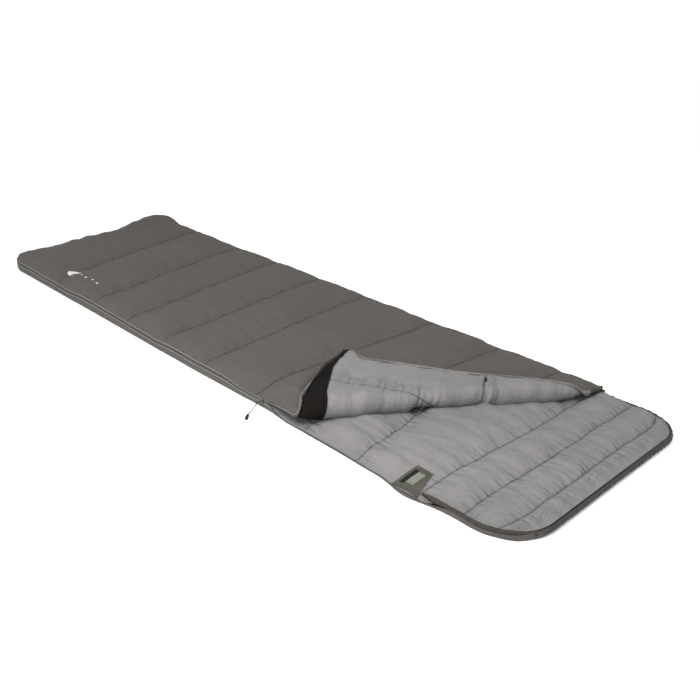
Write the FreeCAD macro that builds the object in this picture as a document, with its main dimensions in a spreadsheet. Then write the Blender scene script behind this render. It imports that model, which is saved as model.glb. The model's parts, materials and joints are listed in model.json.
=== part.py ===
"""A rectangular blanket-style sleeping bag, lying zipped up with one corner folded back.

Millimetres. The origin is on the ground under the middle of the bag. +X runs from the
foot to the head, +Y from the zipped near side to the closed far side, +Z is up.
Every quilt is three layers: an outer shell, the filling and a lining.
"""
import FreeCAD, Part
import math
import os

import Sketcher

SIZES = {
    # the whole bag
    "bag_length": 2250,
    "bag_width": 800,
    "hood_length": 220,
    "top_setback": 25,
    "foot_radius": 80,
    "hood_radius": 120,
    "zip_end_gap": 20,
    # layers, from the ground up
    "skin": 1,
    "bottom_fill": 18,
    "cavity_gap": 10,
    "top_fill": 16,
    # the folded corner of the top cover
    "fold_start": 1630,
    "fold_angle": 61,
    "fold_inner_radius": 4,
    "corner_radius": 30,
    # zip chain, standing in the side of the bag
    "tape_low": 10,
    "tape_high": 40,
    "chain_gap": 2.8,
    "coil_gap": 2.4,
    "coil_width": 2.4,
    "coil_depth": 2.2,
    "piping_size": 3,
    "piping_depth": 1.6,
    "zip_bend_gap": 3,
    "stop_length": 5,
    "stop_depth": 3,
    "stop_proud": 0.8,
    # black draft strip inside the zip
    "facing_width": 46,
    "facing_tip": 12,
    "facing_inset": 3,
    "facing_end_gap": 15,
    # padded edge of the hood
    "rim_width": 10,
    "rim_low": 2,
    "rim_height": 17,
    # slider and its bail
    "slider_place": 1497,
    "slider_length": 14,
    "slider_nose": 10.4,
    "slider_tail": 8.4,
    "slider_plate": 1.6,
    "slider_inner": 8,
    "slider_room": 0.6,
    "slider_flange": 1,
    "slider_merge": 0.2,
    "post_length": 4,
    "post_width": 1.6,
    "bail_radius": 2.6,
    "bail_wire": 0.8,
    # pull cord and its moulded end
    "cord_diameter": 2.4,
    "tab_length": 24,
    "tab_root": 4.6,
    "tab_tip": 8.6,
    "tab_round": 2,
    "tab_height": 5,
    "tab_floor": 0.4,
    # labels on the lining beside the end of the zip
    "patch_place": 1912,
    "patch_base": 72,
    "patch_top": 46,
    "patch_depth": 88,
    "patch_lean": 2,
    "patch_inset": 3,
    "patch_thick": 0.8,
    "woven_start": 9,
    "woven_width": 10,
    "woven_inset": 17,
    "woven_run": 56,
    "care_start": 21,
    "care_width": 20,
    "care_inset": 24,
    "care_run": 44,
    "label_thick": 0.5,
    # liner loop on the lining of the folded corner
    "loop_length": 30,
    "loop_width": 5,
    "loop_setback": 55,
    "loop_inset": 421,
    # embroidered moon and stars on the top cover
    "motif_place": 440,
    "motif_inset": 75,
    "moon_radius": 22,
    "shade_radius": 15,
    "shade_shift": 11,
    "small_dot": 3.5,
    "large_dot": 4.4,
    "dot_start": 48,
    "dot_pitch": 35,
    "motif_thick": 0.8,
}
DOT_COUNT = 4

# Expressions over the sheet, shared by the pieces below.
FOOT = "(-Sizes.bag_length / 2)"
HEAD = "(Sizes.bag_length / 2)"
NEAR = "(-Sizes.bag_width / 2)"
FAR = "(Sizes.bag_width / 2)"
FOOT_IN = f"({FOOT} + Sizes.skin)"
NEAR_IN = f"({NEAR} + Sizes.skin)"
FAR_IN = f"({FAR} - Sizes.skin)"
FOOT_CORNER_IN = "(Sizes.foot_radius - Sizes.skin)"
HOOD_START = f"({HEAD} - Sizes.hood_length)"
TOP_END = f"({HOOD_START} - Sizes.top_setback)"

BOTTOM_TOP = "(2 * Sizes.skin + Sizes.bottom_fill)"
TOP_BOTTOM = f"({BOTTOM_TOP} + Sizes.cavity_gap)"
TOP_THICK = "(2 * Sizes.skin + Sizes.top_fill)"
TOP_TOP = f"({TOP_BOTTOM} + {TOP_THICK})"
CHAIN_MID = f"({BOTTOM_TOP} + Sizes.cavity_gap / 2)"

BEND_RADIUS = f"(Sizes.fold_inner_radius + {TOP_THICK} / 2)"
BEND_HEIGHT = f"({TOP_TOP} + Sizes.fold_inner_radius)"
BEND_CREST = f"(Sizes.fold_inner_radius + {TOP_THICK})"
BEND_LENGTH = f"(pi * {BEND_RADIUS})"
BEND_START = f"({FOOT} + Sizes.fold_start - {BEND_CREST} / sin(Sizes.fold_angle))"
FLAP_START = f"({BEND_START} + {BEND_LENGTH} / sin(Sizes.fold_angle))"
SLIDER_TAIL = f"({FOOT} + Sizes.slider_place - Sizes.slider_length / 2)"
SLIDER_NOSE = f"({SLIDER_TAIL} + Sizes.slider_length)"
ZIP_FOOT_END = f"({FAR} - Sizes.foot_radius - Sizes.zip_end_gap)"

# The pull cord lies where it fell: out of the bail, down the side and along the ground.
CORD_ROUTE = [
    (372.8, -408.9, 25.0),
    (372.6, -414.6, 24.4),
    (371.8, -420.2, 18.5),
    (370.4, -426.0, 10.5),
    (369.0, -433.0, 3.6),
    (371.0, -440.5, 2.0),
    (376.6, -447.4, 2.9),
]
ARC_SHARE = 0.45

document = FreeCAD.newDocument("SleepingBag")
sheet = document.addObject("Spreadsheet::Sheet", "Sizes")
for row, (name, number) in enumerate(SIZES.items(), start=1):
    sheet.set(f"A{row}", name)
    sheet.set(f"B{row}", str(number))
    sheet.setAlias(f"B{row}", name)
document.recompute()

pieces = []


def value(expression):
    """The number that an expression over the sheet stands for."""
    return float(sheet.evalExpression(expression))


def keep(piece, label):
    """Name a finished piece, so that it is checked and written."""
    piece.Label = label
    pieces.append(piece)
    return piece


# Making flat pieces: a polygon, padded and with some corners rounded.

def origin_plane(body, role):
    return next(item for item in body.Origin.OriginFeatures if item.Role == role)


def draw_polygon(body, corners, offset, role):
    """A closed sketch whose corners are each placed by two expressions."""
    sketch = body.newObject("Sketcher::SketchObject", "Outline")
    sketch.AttachmentSupport = [(origin_plane(body, role), "")]
    sketch.MapMode = "FlatFace"
    sketch.setExpression("AttachmentOffset.Base.z", offset)
    points = [FreeCAD.Vector(value(across), value(up), 0) for across, up in corners]
    count = len(points)
    for index in range(count):
        sketch.addGeometry(Part.LineSegment(points[index], points[(index + 1) % count]), False)
    for index in range(count):
        sketch.addConstraint(Sketcher.Constraint("Coincident", index, 2, (index + 1) % count, 1))
    for index, (across, up) in enumerate(corners):
        for kind, expression in (("DistanceX", across), ("DistanceY", up)):
            placed = sketch.addConstraint(
                Sketcher.Constraint(kind, -1, 1, index, 1, value(expression)))
            sketch.setExpression(f"Constraints[{placed}]", expression)
    return sketch


def pad_polygon(body, corners, offset, length, role="XY_Plane"):
    """Pad a polygon by a length, away from its plane's front."""
    sketch = draw_polygon(body, corners, offset, role)
    pad = body.newObject("PartDesign::Pad", "Layer")
    pad.Profile = sketch
    pad.setExpression("Length", length)
    document.recompute()
    return pad


def upright_edges(shape, corners):
    """The names of the vertical edges that stand on the given corners."""
    places = [FreeCAD.Vector(value(across), value(up), 0) for across, up in corners]
    names = []
    for index, edge in enumerate(shape.Edges, start=1):
        low, high = edge.Vertexes[0].Point, edge.Vertexes[-1].Point
        upright = math.hypot(low.x - high.x, low.y - high.y) < 1e-6
        if upright and any(math.hypot(low.x - p.x, low.y - p.y) < 1e-3 for p in places):
            names.append(f"Edge{index}")
    return names


def round_corners(body, corners, radius):
    """Fillet the vertical edges on some corners of the body's last feature."""
    base = body.Tip
    fillet = body.newObject("PartDesign::Fillet", "RoundCorners")
    fillet.Base = (base, upright_edges(base.Shape, corners))
    fillet.setExpression("Radius", radius)
    document.recompute()
    return fillet


def sheet_piece(label, corners, low, thick, rounded=()):
    """A flat piece over a polygon, with (corners, radius) pairs rounded."""
    body = document.addObject("PartDesign::Body", label)
    pad_polygon(body, corners, low, thick)
    for corner_group, radius in rounded:
        round_corners(body, corner_group, radius)
    return keep(body, label)


def quilt(name, corners, low, fill, rounded, shell_first):
    """Shell, filling and lining as three flat pieces on one outline."""
    lower, upper = ("shell", "lining") if shell_first else ("lining", "shell")
    sheet_piece(f"{name}_{lower}", corners, low, "Sizes.skin", rounded)
    sheet_piece(f"{name}_insulation", corners, f"{low} + Sizes.skin", fill, rounded)
    sheet_piece(f"{name}_{upper}", corners, f"{low} + Sizes.skin + {fill}", "Sizes.skin", rounded)


def edge_band(label, low, high, inner, outer, side_end, foot_end, side=NEAR, turn=1):
    """A band standing along one long side, round the foot corner and across the foot.

    inner and outer are how far its faces lie outside the bag's outline, side_end is where it
    ends along the side and foot_end where it ends across the foot. turn is 1 on the near
    side and -1 on the far side.
    """
    side_out = f"({side} - {turn} * ({outer}))"
    side_in = f"({side} - {turn} * ({inner}))"
    foot_out = f"({FOOT} - ({outer}))"
    foot_in = f"({FOOT} - ({inner}))"
    corners = [
        (side_end, side_out),
        (foot_out, side_out),
        (foot_out, foot_end),
        (foot_in, foot_end),
        (foot_in, side_in),
        (side_end, side_in),
    ]
    rounded = [
        ([corners[1]], f"Sizes.foot_radius + ({outer})"),
        ([corners[4]], f"Sizes.foot_radius + ({inner})"),
    ]
    return sheet_piece(label, corners, low, f"({high}) - ({low})", rounded)


# The quilts.

def make_bottom():
    """The lower quilt, from the foot to the hood seam."""
    corners = [
        (FOOT_IN, NEAR_IN),
        (HOOD_START, NEAR_IN),
        (HOOD_START, FAR_IN),
        (FOOT_IN, FAR_IN),
    ]
    rounded = [([corners[0], corners[3]], FOOT_CORNER_IN)]
    quilt("bottom", corners, "0", "Sizes.bottom_fill", rounded, shell_first=True)


def make_hood():
    """The separately quilted flap beyond the top cover that the head lies on."""
    side = "Sizes.rim_width"
    corners = [
        (HOOD_START, f"{NEAR} + {side}"),
        (f"{HEAD} - {side}", f"{NEAR} + {side}"),
        (f"{HEAD} - {side}", f"{FAR} - {side}"),
        (HOOD_START, f"{FAR} - {side}"),
    ]
    rounded = [([corners[1], corners[2]], f"Sizes.hood_radius - {side}")]
    quilt("hood", corners, "0", "Sizes.bottom_fill", rounded, shell_first=True)


def make_hood_rim():
    """The gathered padded edge that runs round the hood on three sides."""
    corners = [
        (HOOD_START, NEAR),
        (HEAD, NEAR),
        (HEAD, FAR),
        (HOOD_START, FAR),
        (HOOD_START, f"{FAR} - Sizes.rim_width"),
        (f"{HEAD} - Sizes.rim_width", f"{FAR} - Sizes.rim_width"),
        (f"{HEAD} - Sizes.rim_width", f"{NEAR} + Sizes.rim_width"),
        (HOOD_START, f"{NEAR} + Sizes.rim_width"),
    ]
    rounded = [
        ([corners[1], corners[2]], "Sizes.hood_radius"),
        ([corners[5], corners[6]], "Sizes.hood_radius - Sizes.rim_width"),
    ]
    sheet_piece("hood_rim", corners, "Sizes.rim_low", "Sizes.rim_height", rounded)


def make_top():
    """The upper quilt up to the line where its corner starts to fold back."""
    corners = [
        (FOOT_IN, NEAR_IN),
        (BEND_START, NEAR_IN),
        (TOP_END, f"{NEAR_IN} + ({TOP_END} - {BEND_START}) * tan(Sizes.fold_angle)"),
        (TOP_END, FAR_IN),
        (FOOT_IN, FAR_IN),
    ]
    rounded = [([corners[0], corners[4]], FOOT_CORNER_IN)]
    quilt("top", corners, TOP_BOTTOM, "Sizes.top_fill", rounded, shell_first=False)


def turn_over(piece):
    """Turn a piece of the flap from its closed place over the fold, onto the top cover."""
    angle = math.radians(value("Sizes.fold_angle"))
    along = FreeCAD.Vector(math.cos(angle), math.sin(angle), 0)
    towards_head = FreeCAD.Vector(math.sin(angle), -math.cos(angle), 0)
    start = FreeCAD.Vector(value(BEND_START), value(NEAR_IN), value(BEND_HEIGHT))
    axis_point = start + towards_head * (value(BEND_LENGTH) / 2)
    half_turn = FreeCAD.Rotation(along, -180)
    piece.Placement = FreeCAD.Placement(FreeCAD.Vector(), half_turn, axis_point)
    return piece


def flap_outline():
    return [
        (FLAP_START, NEAR_IN),
        (TOP_END, NEAR_IN),
        (TOP_END, f"{NEAR_IN} + ({TOP_END} - {FLAP_START}) * tan(Sizes.fold_angle)"),
    ]


def make_flap():
    """The near head corner of the top cover, drawn flat and then turned over the fold."""
    corners = flap_outline()
    rounded = [([corners[1]], "Sizes.corner_radius")]
    first = len(pieces)
    quilt("flap", corners, TOP_BOTTOM, "Sizes.top_fill", rounded, shell_first=False)
    for piece in pieces[first:]:
        turn_over(piece)


# The fold itself: half a tube around the line of the fold, with slanted ends.

def fold_window(near_shift, width):
    """The space between the fold's near end, moved by near_shift, and its far end.

    Its own axes are u away from the bend's start, v along the fold and z up from the
    bend's centre. The ends slant, because the cover's edges cross the fold at an angle.
    With a width, the space is a slice of that width beside the near end.
    """
    angle = math.radians(value("Sizes.fold_angle"))
    radius = value(BEND_RADIUS)
    reach = value(BEND_CREST) + 2 * value("Sizes.coil_width") + 1
    near_slant = value(BEND_LENGTH) / math.tan(angle)
    far_slant = -value(BEND_LENGTH) * math.tan(angle)
    whole = (value(TOP_END) - value(BEND_START)) / math.cos(angle)
    near_end = [(near_shift, -reach), (near_shift, -radius),
                (near_shift + near_slant, radius), (near_shift + near_slant, reach)]
    far_end = [(whole, -reach), (whole, -radius),
               (whole + far_slant, radius), (whole + far_slant, reach)]
    if width is not None:
        far_end = [(along + width, height) for along, height in near_end]
    outline = [FreeCAD.Vector(0, along, height) for along, height in near_end + far_end[::-1]]
    face = Part.Face(Part.makePolygon(outline + outline[:1]))
    return face.extrude(FreeCAD.Vector(reach, 0, 0))


def fold_piece(label, inner, outer, near_shift=0.0, width=None):
    """Half a tube between two radii, with its ends cut by the window."""
    length = 2 * value("Sizes.bag_width")
    base = FreeCAD.Vector(0, -length / 4, 0)
    axis = FreeCAD.Vector(0, 1, 0)
    ring = Part.makeCylinder(outer, length, base, axis)
    ring = ring.cut(Part.makeCylinder(inner, length, base, axis))
    piece = document.addObject("Part::Feature", label)
    piece.Shape = ring.common(fold_window(near_shift, width)).Solids[0]
    piece.Placement = FreeCAD.Placement(
        FreeCAD.Vector(value(BEND_START), value(NEAR_IN), value(BEND_HEIGHT)),
        FreeCAD.Rotation(FreeCAD.Vector(0, 0, 1), value("Sizes.fold_angle") - 90))
    return keep(piece, label)


def make_fold():
    """The bent strip of the top cover, layer by layer, and the zip that goes round it."""
    skin = value("Sizes.skin")
    inside = value("Sizes.fold_inner_radius")
    outside = value(BEND_CREST)
    centre = value(BEND_HEIGHT)
    stretch = 1 / math.sin(math.radians(value("Sizes.fold_angle")))
    fold_piece("fold_shell", inside, inside + skin)
    fold_piece("fold_insulation", inside + skin, outside - skin)
    fold_piece("fold_lining", outside - skin, outside)
    fold_piece("fold_facing", outside, outside + skin,
               value("Sizes.facing_inset") * stretch, value("Sizes.facing_width") * stretch)
    tape_low = value(f"{CHAIN_MID} + Sizes.chain_gap / 2")
    fold_piece("fold_zip_tape", centre - value("Sizes.tape_high"), centre - tape_low,
               -skin * stretch, skin * stretch)
    coil_low = value(f"{CHAIN_MID} + Sizes.coil_gap / 2")
    coil_high = coil_low + value("Sizes.coil_width")
    depth = value("Sizes.coil_depth")
    fold_piece("fold_zip_coil", centre - coil_high, centre - coil_low,
               -(skin + depth) * stretch, depth * stretch)
    piping_low = value("Sizes.tape_high - Sizes.piping_size")
    depth = value("Sizes.piping_depth")
    fold_piece("fold_piping", centre - value("Sizes.tape_high"), centre - piping_low,
               -(skin + depth) * stretch, depth * stretch)


def make_far_side():
    """The stretch of shell that closes the far side and the far foot corner."""
    edge_band("far_side_shell", "0", TOP_TOP, "-Sizes.skin", "0", TOP_END,
              ZIP_FOOT_END, side=FAR, turn=-1)


# The zip, in the near side and round the foot.

def zip_half(name, low, high, coil_low, piping_low, side_end, foot_end):
    """One half of the zip: its tape, its coil and the pale piping sewn along it."""
    edge_band(f"{name}_zip_tape", low, high, "-Sizes.skin", "0", side_end, foot_end)
    edge_band(f"{name}_zip_coil", coil_low, f"{coil_low} + Sizes.coil_width",
              "0", "Sizes.coil_depth", side_end, foot_end)
    edge_band(f"{name}_piping", piping_low, f"{piping_low} + Sizes.piping_size",
              "0", "Sizes.piping_depth", side_end, foot_end)


def side_bar(label, low, high, inner, outer, start, end):
    """A straight band along the near side only."""
    corners = [
        (start, f"{NEAR} - ({outer})"),
        (end, f"{NEAR} - ({outer})"),
        (end, f"{NEAR} - ({inner})"),
        (start, f"{NEAR} - ({inner})"),
    ]
    return sheet_piece(label, corners, low, f"({high}) - ({low})")


def make_zip():
    """Both halves of the chain, its stops, and the half that belongs to the flap."""
    foot_end = ZIP_FOOT_END
    tape_under = f"({CHAIN_MID} - Sizes.chain_gap / 2)"
    tape_over = f"({CHAIN_MID} + Sizes.chain_gap / 2)"
    coil_under = f"({CHAIN_MID} - Sizes.coil_gap / 2 - Sizes.coil_width)"
    coil_over = f"({CHAIN_MID} + Sizes.coil_gap / 2)"
    piping_over = "(Sizes.tape_high - Sizes.piping_size)"
    zip_half("lower", "Sizes.tape_low", tape_under, coil_under, "Sizes.tape_low",
             TOP_END, foot_end)
    zip_half("upper", tape_over, "Sizes.tape_high", coil_over, piping_over,
             f"({BEND_START} - Sizes.zip_bend_gap)", foot_end)
    stop_start = f"({TOP_END} - Sizes.stop_length)"
    coil_depth = "Sizes.coil_depth"
    stop_depth = "(Sizes.coil_depth + Sizes.stop_proud)"
    side_bar("lower_top_stop", coil_under, f"{coil_under} + Sizes.coil_width",
             coil_depth, stop_depth, stop_start, TOP_END)
    flap_bars = [
        side_bar("flap_zip_tape", tape_over, "Sizes.tape_high", "-Sizes.skin", "0",
                 FLAP_START, TOP_END),
        side_bar("flap_zip_coil", coil_over, f"{coil_over} + Sizes.coil_width",
                 "0", coil_depth, FLAP_START, TOP_END),
        side_bar("flap_piping", piping_over, "Sizes.tape_high",
                 "0", "Sizes.piping_depth", FLAP_START, TOP_END),
        side_bar("flap_top_stop", coil_over, f"{coil_over} + Sizes.coil_width",
                 coil_depth, stop_depth, stop_start, TOP_END),
    ]
    for piece in flap_bars:
        turn_over(piece)


def make_bottom_stop():
    """The box that joins the two halves of the zip at the far end of the foot."""
    foot_out = f"({FOOT} - Sizes.coil_depth)"
    end = ZIP_FOOT_END
    half = "(Sizes.coil_width + Sizes.coil_gap / 2 + Sizes.skin)"
    corners = [
        (f"{foot_out} - Sizes.stop_depth / 2", f"{end} - 2 * Sizes.stop_length"),
        (foot_out, f"{end} - 2 * Sizes.stop_length"),
        (foot_out, end),
        (f"{foot_out} - Sizes.stop_depth / 2", end),
    ]
    sheet_piece("zip_bottom_stop", corners, f"{CHAIN_MID} - {half}", f"2 * {half}")


def make_facings():
    """The black draft strip sewn inside the zip, on the top cover and on its flap."""
    low = f"({TOP_BOTTOM} - Sizes.skin)"
    outer = f"({NEAR_IN} + Sizes.facing_inset)"
    inner = f"({outer} + Sizes.facing_width)"
    start = f"({FOOT} + Sizes.foot_radius)"
    main = [
        (start, outer),
        (f"{BEND_START} + Sizes.facing_inset / tan(Sizes.fold_angle)", outer),
        (f"{BEND_START} + (Sizes.facing_inset + Sizes.facing_width) / tan(Sizes.fold_angle)", inner),
        (start, inner),
    ]
    sheet_piece("zip_facing", main, low, "Sizes.skin")
    tip = f"({outer} + Sizes.facing_tip)"
    end = f"({TOP_END} - Sizes.facing_end_gap)"
    flap = [
        (f"{FLAP_START} + Sizes.facing_inset / tan(Sizes.fold_angle)", outer),
        (end, outer),
        (end, tip),
        (f"{FLAP_START} + (Sizes.facing_inset + Sizes.facing_width) / tan(Sizes.fold_angle)", inner),
    ]
    turn_over(sheet_piece("flap_facing", flap, low, "Sizes.skin"))


# Slider, bail, cord and moulded end.

def add_side_block(body, low, high, inner, outer, start, end):
    """One block of the slider: x from start to end, z low to high, y by depth."""
    corners = [(start, low), (end, low), (end, high), (start, high)]
    return pad_polygon(body, corners, inner, f"({outer}) - ({inner})", "XZ_Plane")


def make_slider():
    """Two plates joined by the post between the two coils, with guiding flanges."""
    body = document.addObject("PartDesign::Body", "zip_slider")
    coil_out = "(Sizes.bag_width / 2 + Sizes.coil_depth)"
    outer_start = f"({coil_out} + Sizes.slider_room)"
    outer_end = f"({outer_start} + Sizes.slider_plate)"
    inner_end = "(Sizes.bag_width / 2 - Sizes.skin - Sizes.slider_room)"
    inner_start = f"({inner_end} - Sizes.slider_plate)"
    waist = f"({SLIDER_TAIL} + Sizes.slider_length / 2)"
    plate = [
        (SLIDER_TAIL, f"{CHAIN_MID} - Sizes.slider_tail / 2"),
        (waist, f"{CHAIN_MID} - Sizes.slider_nose / 2"),
        (SLIDER_NOSE, f"{CHAIN_MID} - Sizes.slider_nose / 2"),
        (SLIDER_NOSE, f"{CHAIN_MID} + Sizes.slider_nose / 2"),
        (waist, f"{CHAIN_MID} + Sizes.slider_nose / 2"),
        (SLIDER_TAIL, f"{CHAIN_MID} + Sizes.slider_tail / 2"),
    ]
    pad_polygon(body, plate, outer_start, "Sizes.slider_plate", "XZ_Plane")
    post_low = f"({CHAIN_MID} - Sizes.post_width / 2)"
    post_high = f"({CHAIN_MID} + Sizes.post_width / 2)"
    into_plate = f"({outer_start} + Sizes.slider_merge)"
    add_side_block(body, post_low, post_high, inner_start, into_plate,
                   f"({SLIDER_NOSE} - Sizes.post_length)", SLIDER_NOSE)
    add_side_block(body, f"{CHAIN_MID} - Sizes.slider_inner / 2",
                   f"{CHAIN_MID} + Sizes.slider_inner / 2",
                   inner_start, inner_end, SLIDER_TAIL, SLIDER_NOSE)
    flange_start = "(Sizes.bag_width / 2 + Sizes.slider_room)"
    for low in (f"{CHAIN_MID} - Sizes.slider_nose / 2",
                f"{CHAIN_MID} + Sizes.slider_nose / 2 - Sizes.slider_flange / 2"):
        high = f"{low} + Sizes.slider_flange / 2"
        add_side_block(body, low, high, flange_start, into_plate, waist, SLIDER_NOSE)
    keep(body, "zip_slider")
    bail = document.addObject("Part::Torus", "slider_bail")
    bail.setExpression("Radius1", "Sizes.bail_radius")
    bail.setExpression("Radius2", "Sizes.bail_wire")
    bail.Angle3 = 180
    face = -value(outer_end)
    middle = value(f"{SLIDER_TAIL} + Sizes.slider_length / 2")
    bail.Placement = FreeCAD.Placement(
        FreeCAD.Vector(middle, face, value(CHAIN_MID)),
        FreeCAD.Rotation(FreeCAD.Vector(0, 0, 1), 180))
    keep(bail, "slider_bail")


def rounded_path(route):
    """Straight runs joined by tangent arcs, and the radius of each arc."""
    points = [FreeCAD.Vector(*place) for place in route]
    edges = []
    radii = []
    here = points[0]
    for before, corner, after in zip(points, points[1:], points[2:]):
        back = (before - corner).normalize()
        ahead = (after - corner).normalize()
        half_turn = (math.pi - back.getAngle(ahead)) / 2
        shorter = min((before - corner).Length, (after - corner).Length)
        cut = ARC_SHARE * shorter
        radius = cut / math.tan(half_turn)
        arc_start = corner + back * cut
        arc_end = corner + ahead * cut
        bisector = (back + ahead).normalize()
        middle = corner + bisector * (radius / math.cos(half_turn) - radius)
        edges.append(Part.LineSegment(here, arc_start).toShape())
        edges.append(Part.Arc(arc_start, middle, arc_end).toShape())
        radii.append(radius)
        here = arc_end
    edges.append(Part.LineSegment(here, points[-1]).toShape())
    return Part.Wire(edges), radii


def make_pull():
    """The cord through the bail and the moulded end on it, lying on the ground."""
    path, radii = rounded_path(CORD_ROUTE)
    print("pull cord arc radii, mm:", [round(radius, 1) for radius in radii])
    start = FreeCAD.Vector(*CORD_ROUTE[0])
    heading = FreeCAD.Vector(*CORD_ROUTE[1]) - start
    circle = Part.Circle(start, heading, value("Sizes.cord_diameter / 2"))
    tube = path.makePipeShell([Part.Wire(circle.toShape())], True, False)
    section = math.pi * value("Sizes.cord_diameter / 2") ** 2
    print("pull cord length, mm:", round(path.Length, 1),
          "volume share:", round(tube.Volume / (section * path.Length), 3))
    cord = document.addObject("Part::Feature", "pull_cord")
    cord.Shape = tube
    keep(cord, "pull_cord")

    tab = document.addObject("PartDesign::Body", "pull_end")
    corners = [
        ("0", "-Sizes.tab_root / 2"),
        ("Sizes.tab_length", "-Sizes.tab_tip / 2"),
        ("Sizes.tab_length", "Sizes.tab_tip / 2"),
        ("0", "Sizes.tab_root / 2"),
    ]
    pad_polygon(tab, corners, "0", "Sizes.tab_height")
    round_corners(tab, corners[1:3], "Sizes.tab_round")
    last = FreeCAD.Vector(*CORD_ROUTE[-1])
    run = last - FreeCAD.Vector(*CORD_ROUTE[-2])
    turn = math.degrees(math.atan2(run.y, run.x))
    tab.Placement = FreeCAD.Placement(
        FreeCAD.Vector(last.x, last.y, value("Sizes.tab_floor")),
        FreeCAD.Rotation(FreeCAD.Vector(0, 0, 1), turn))
    keep(tab, "pull_end")


# Small sewn-on pieces.

def make_labels():
    """A patch with a black tab and a pale care label, beside the end of the zip."""
    start = f"({FOOT} + Sizes.patch_place)"
    end = f"({start} + Sizes.patch_base)"
    outer = f"({NEAR_IN} + Sizes.patch_inset)"
    inner = f"({outer} + Sizes.patch_depth)"
    patch = [
        (start, outer),
        (end, outer),
        (f"{start} + Sizes.patch_top", inner),
        (f"{start} + Sizes.patch_lean", inner),
    ]
    sheet_piece("label_patch", patch, BOTTOM_TOP, "Sizes.patch_thick")
    top = f"({BOTTOM_TOP} + Sizes.patch_thick)"
    for label, kind in (("black_tab", "woven"), ("care_label", "care")):
        left = f"({start} + Sizes.{kind}_start)"
        right = f"({left} + Sizes.{kind}_width)"
        low = f"({outer} + Sizes.{kind}_inset)"
        high = f"({low} + Sizes.{kind}_run)"
        corners = [
            (left, low),
            (right, low),
            (right, high),
            (left, high),
        ]
        sheet_piece(label, corners, top, "Sizes.label_thick")


def make_liner_loop():
    """The small black loop sewn into a seam of the flap's lining."""
    middle_x = f"({TOP_END} - Sizes.loop_setback)"
    middle_y = f"({NEAR_IN} + Sizes.loop_inset)"
    corners = [
        (f"{middle_x} - Sizes.loop_length / 2", f"{middle_y} - Sizes.loop_width / 2"),
        (f"{middle_x} + Sizes.loop_length / 2", f"{middle_y} - Sizes.loop_width / 2"),
        (f"{middle_x} + Sizes.loop_length / 2", f"{middle_y} + Sizes.loop_width / 2"),
        (f"{middle_x} - Sizes.loop_length / 2", f"{middle_y} + Sizes.loop_width / 2"),
    ]
    turn_over(sheet_piece("liner_loop", corners, f"{TOP_BOTTOM} - Sizes.skin", "Sizes.skin"))


def motif_disc(name, radius, along, across):
    """One round stitched shape of the motif, placed from its middle."""
    disc = document.addObject("Part::Cylinder", name)
    disc.setExpression("Radius", radius)
    disc.setExpression("Height", "Sizes.motif_thick")
    disc.setExpression("Placement.Base.x", f"{FOOT} + Sizes.motif_place + {along}")
    disc.setExpression("Placement.Base.y", f"{NEAR} + Sizes.motif_inset + {across}")
    disc.setExpression("Placement.Base.z", TOP_TOP)
    return disc


def make_motif():
    """A crescent moon with four dots, embroidered on the top cover near the foot."""
    whole = motif_disc("moon_whole", "Sizes.moon_radius", "0", "0")
    shade = motif_disc("moon_shade", "Sizes.shade_radius", "Sizes.shade_shift", "0")
    crescent = document.addObject("Part::Cut", "crescent")
    crescent.Base = whole
    crescent.Tool = shade
    dots = []
    for index in range(DOT_COUNT):
        radius, across = ("Sizes.large_dot", "-Sizes.large_dot") if index % 2 else ("Sizes.small_dot", "0")
        along = f"(Sizes.dot_start + {index} * Sizes.dot_pitch)"
        dots.append(motif_disc(f"dot_{index}", radius, along, across))
    group = document.addObject("Part::Compound", "stitched_motif")
    group.Links = [crescent] + dots
    keep(group, "stitched_motif")


def check_document():
    """Stop at anything that failed to build."""
    document.recompute()
    for item in document.Objects:
        if "Invalid" in item.State or "Error" in item.State:
            raise RuntimeError(f"{item.Label} failed: {item.State}")
    for piece in pieces:
        if piece.Shape.isNull() or not piece.Shape.isValid():
            raise RuntimeError(f"{piece.Label} has no valid shape")
        if not piece.Shape.Solids:
            raise RuntimeError(f"{piece.Label} has no solid")


def write_parts():
    os.makedirs("parts", exist_ok=True)
    for piece in pieces:
        piece.Shape.exportStep(f"parts/{piece.Label}.step")
        box = piece.Shape.BoundBox
        print(f"{piece.Label:18s} x {box.XMin:8.1f} {box.XMax:8.1f}  y {box.YMin:7.1f}"
              f" {box.YMax:7.1f}  z {box.ZMin:5.1f} {box.ZMax:5.1f}  solids"
              f" {len(piece.Shape.Solids)}  cm3 {piece.Shape.Volume / 1000:.2f}")


make_bottom()
make_hood()
make_hood_rim()
make_top()
make_flap()
make_fold()
make_far_side()
make_zip()
make_bottom_stop()
make_facings()
make_slider()
make_pull()
make_labels()
make_liner_loop()
make_motif()
check_document()
write_parts()
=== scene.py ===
"""A rectangular sleeping bag lying flat, its cover's near head corner folded open to show the lining."""

import json
import math

import bmesh
import bpy
import numpy as np
from mathutils import Matrix, Vector, noise
from mathutils.bvhtree import BVHTree


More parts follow.
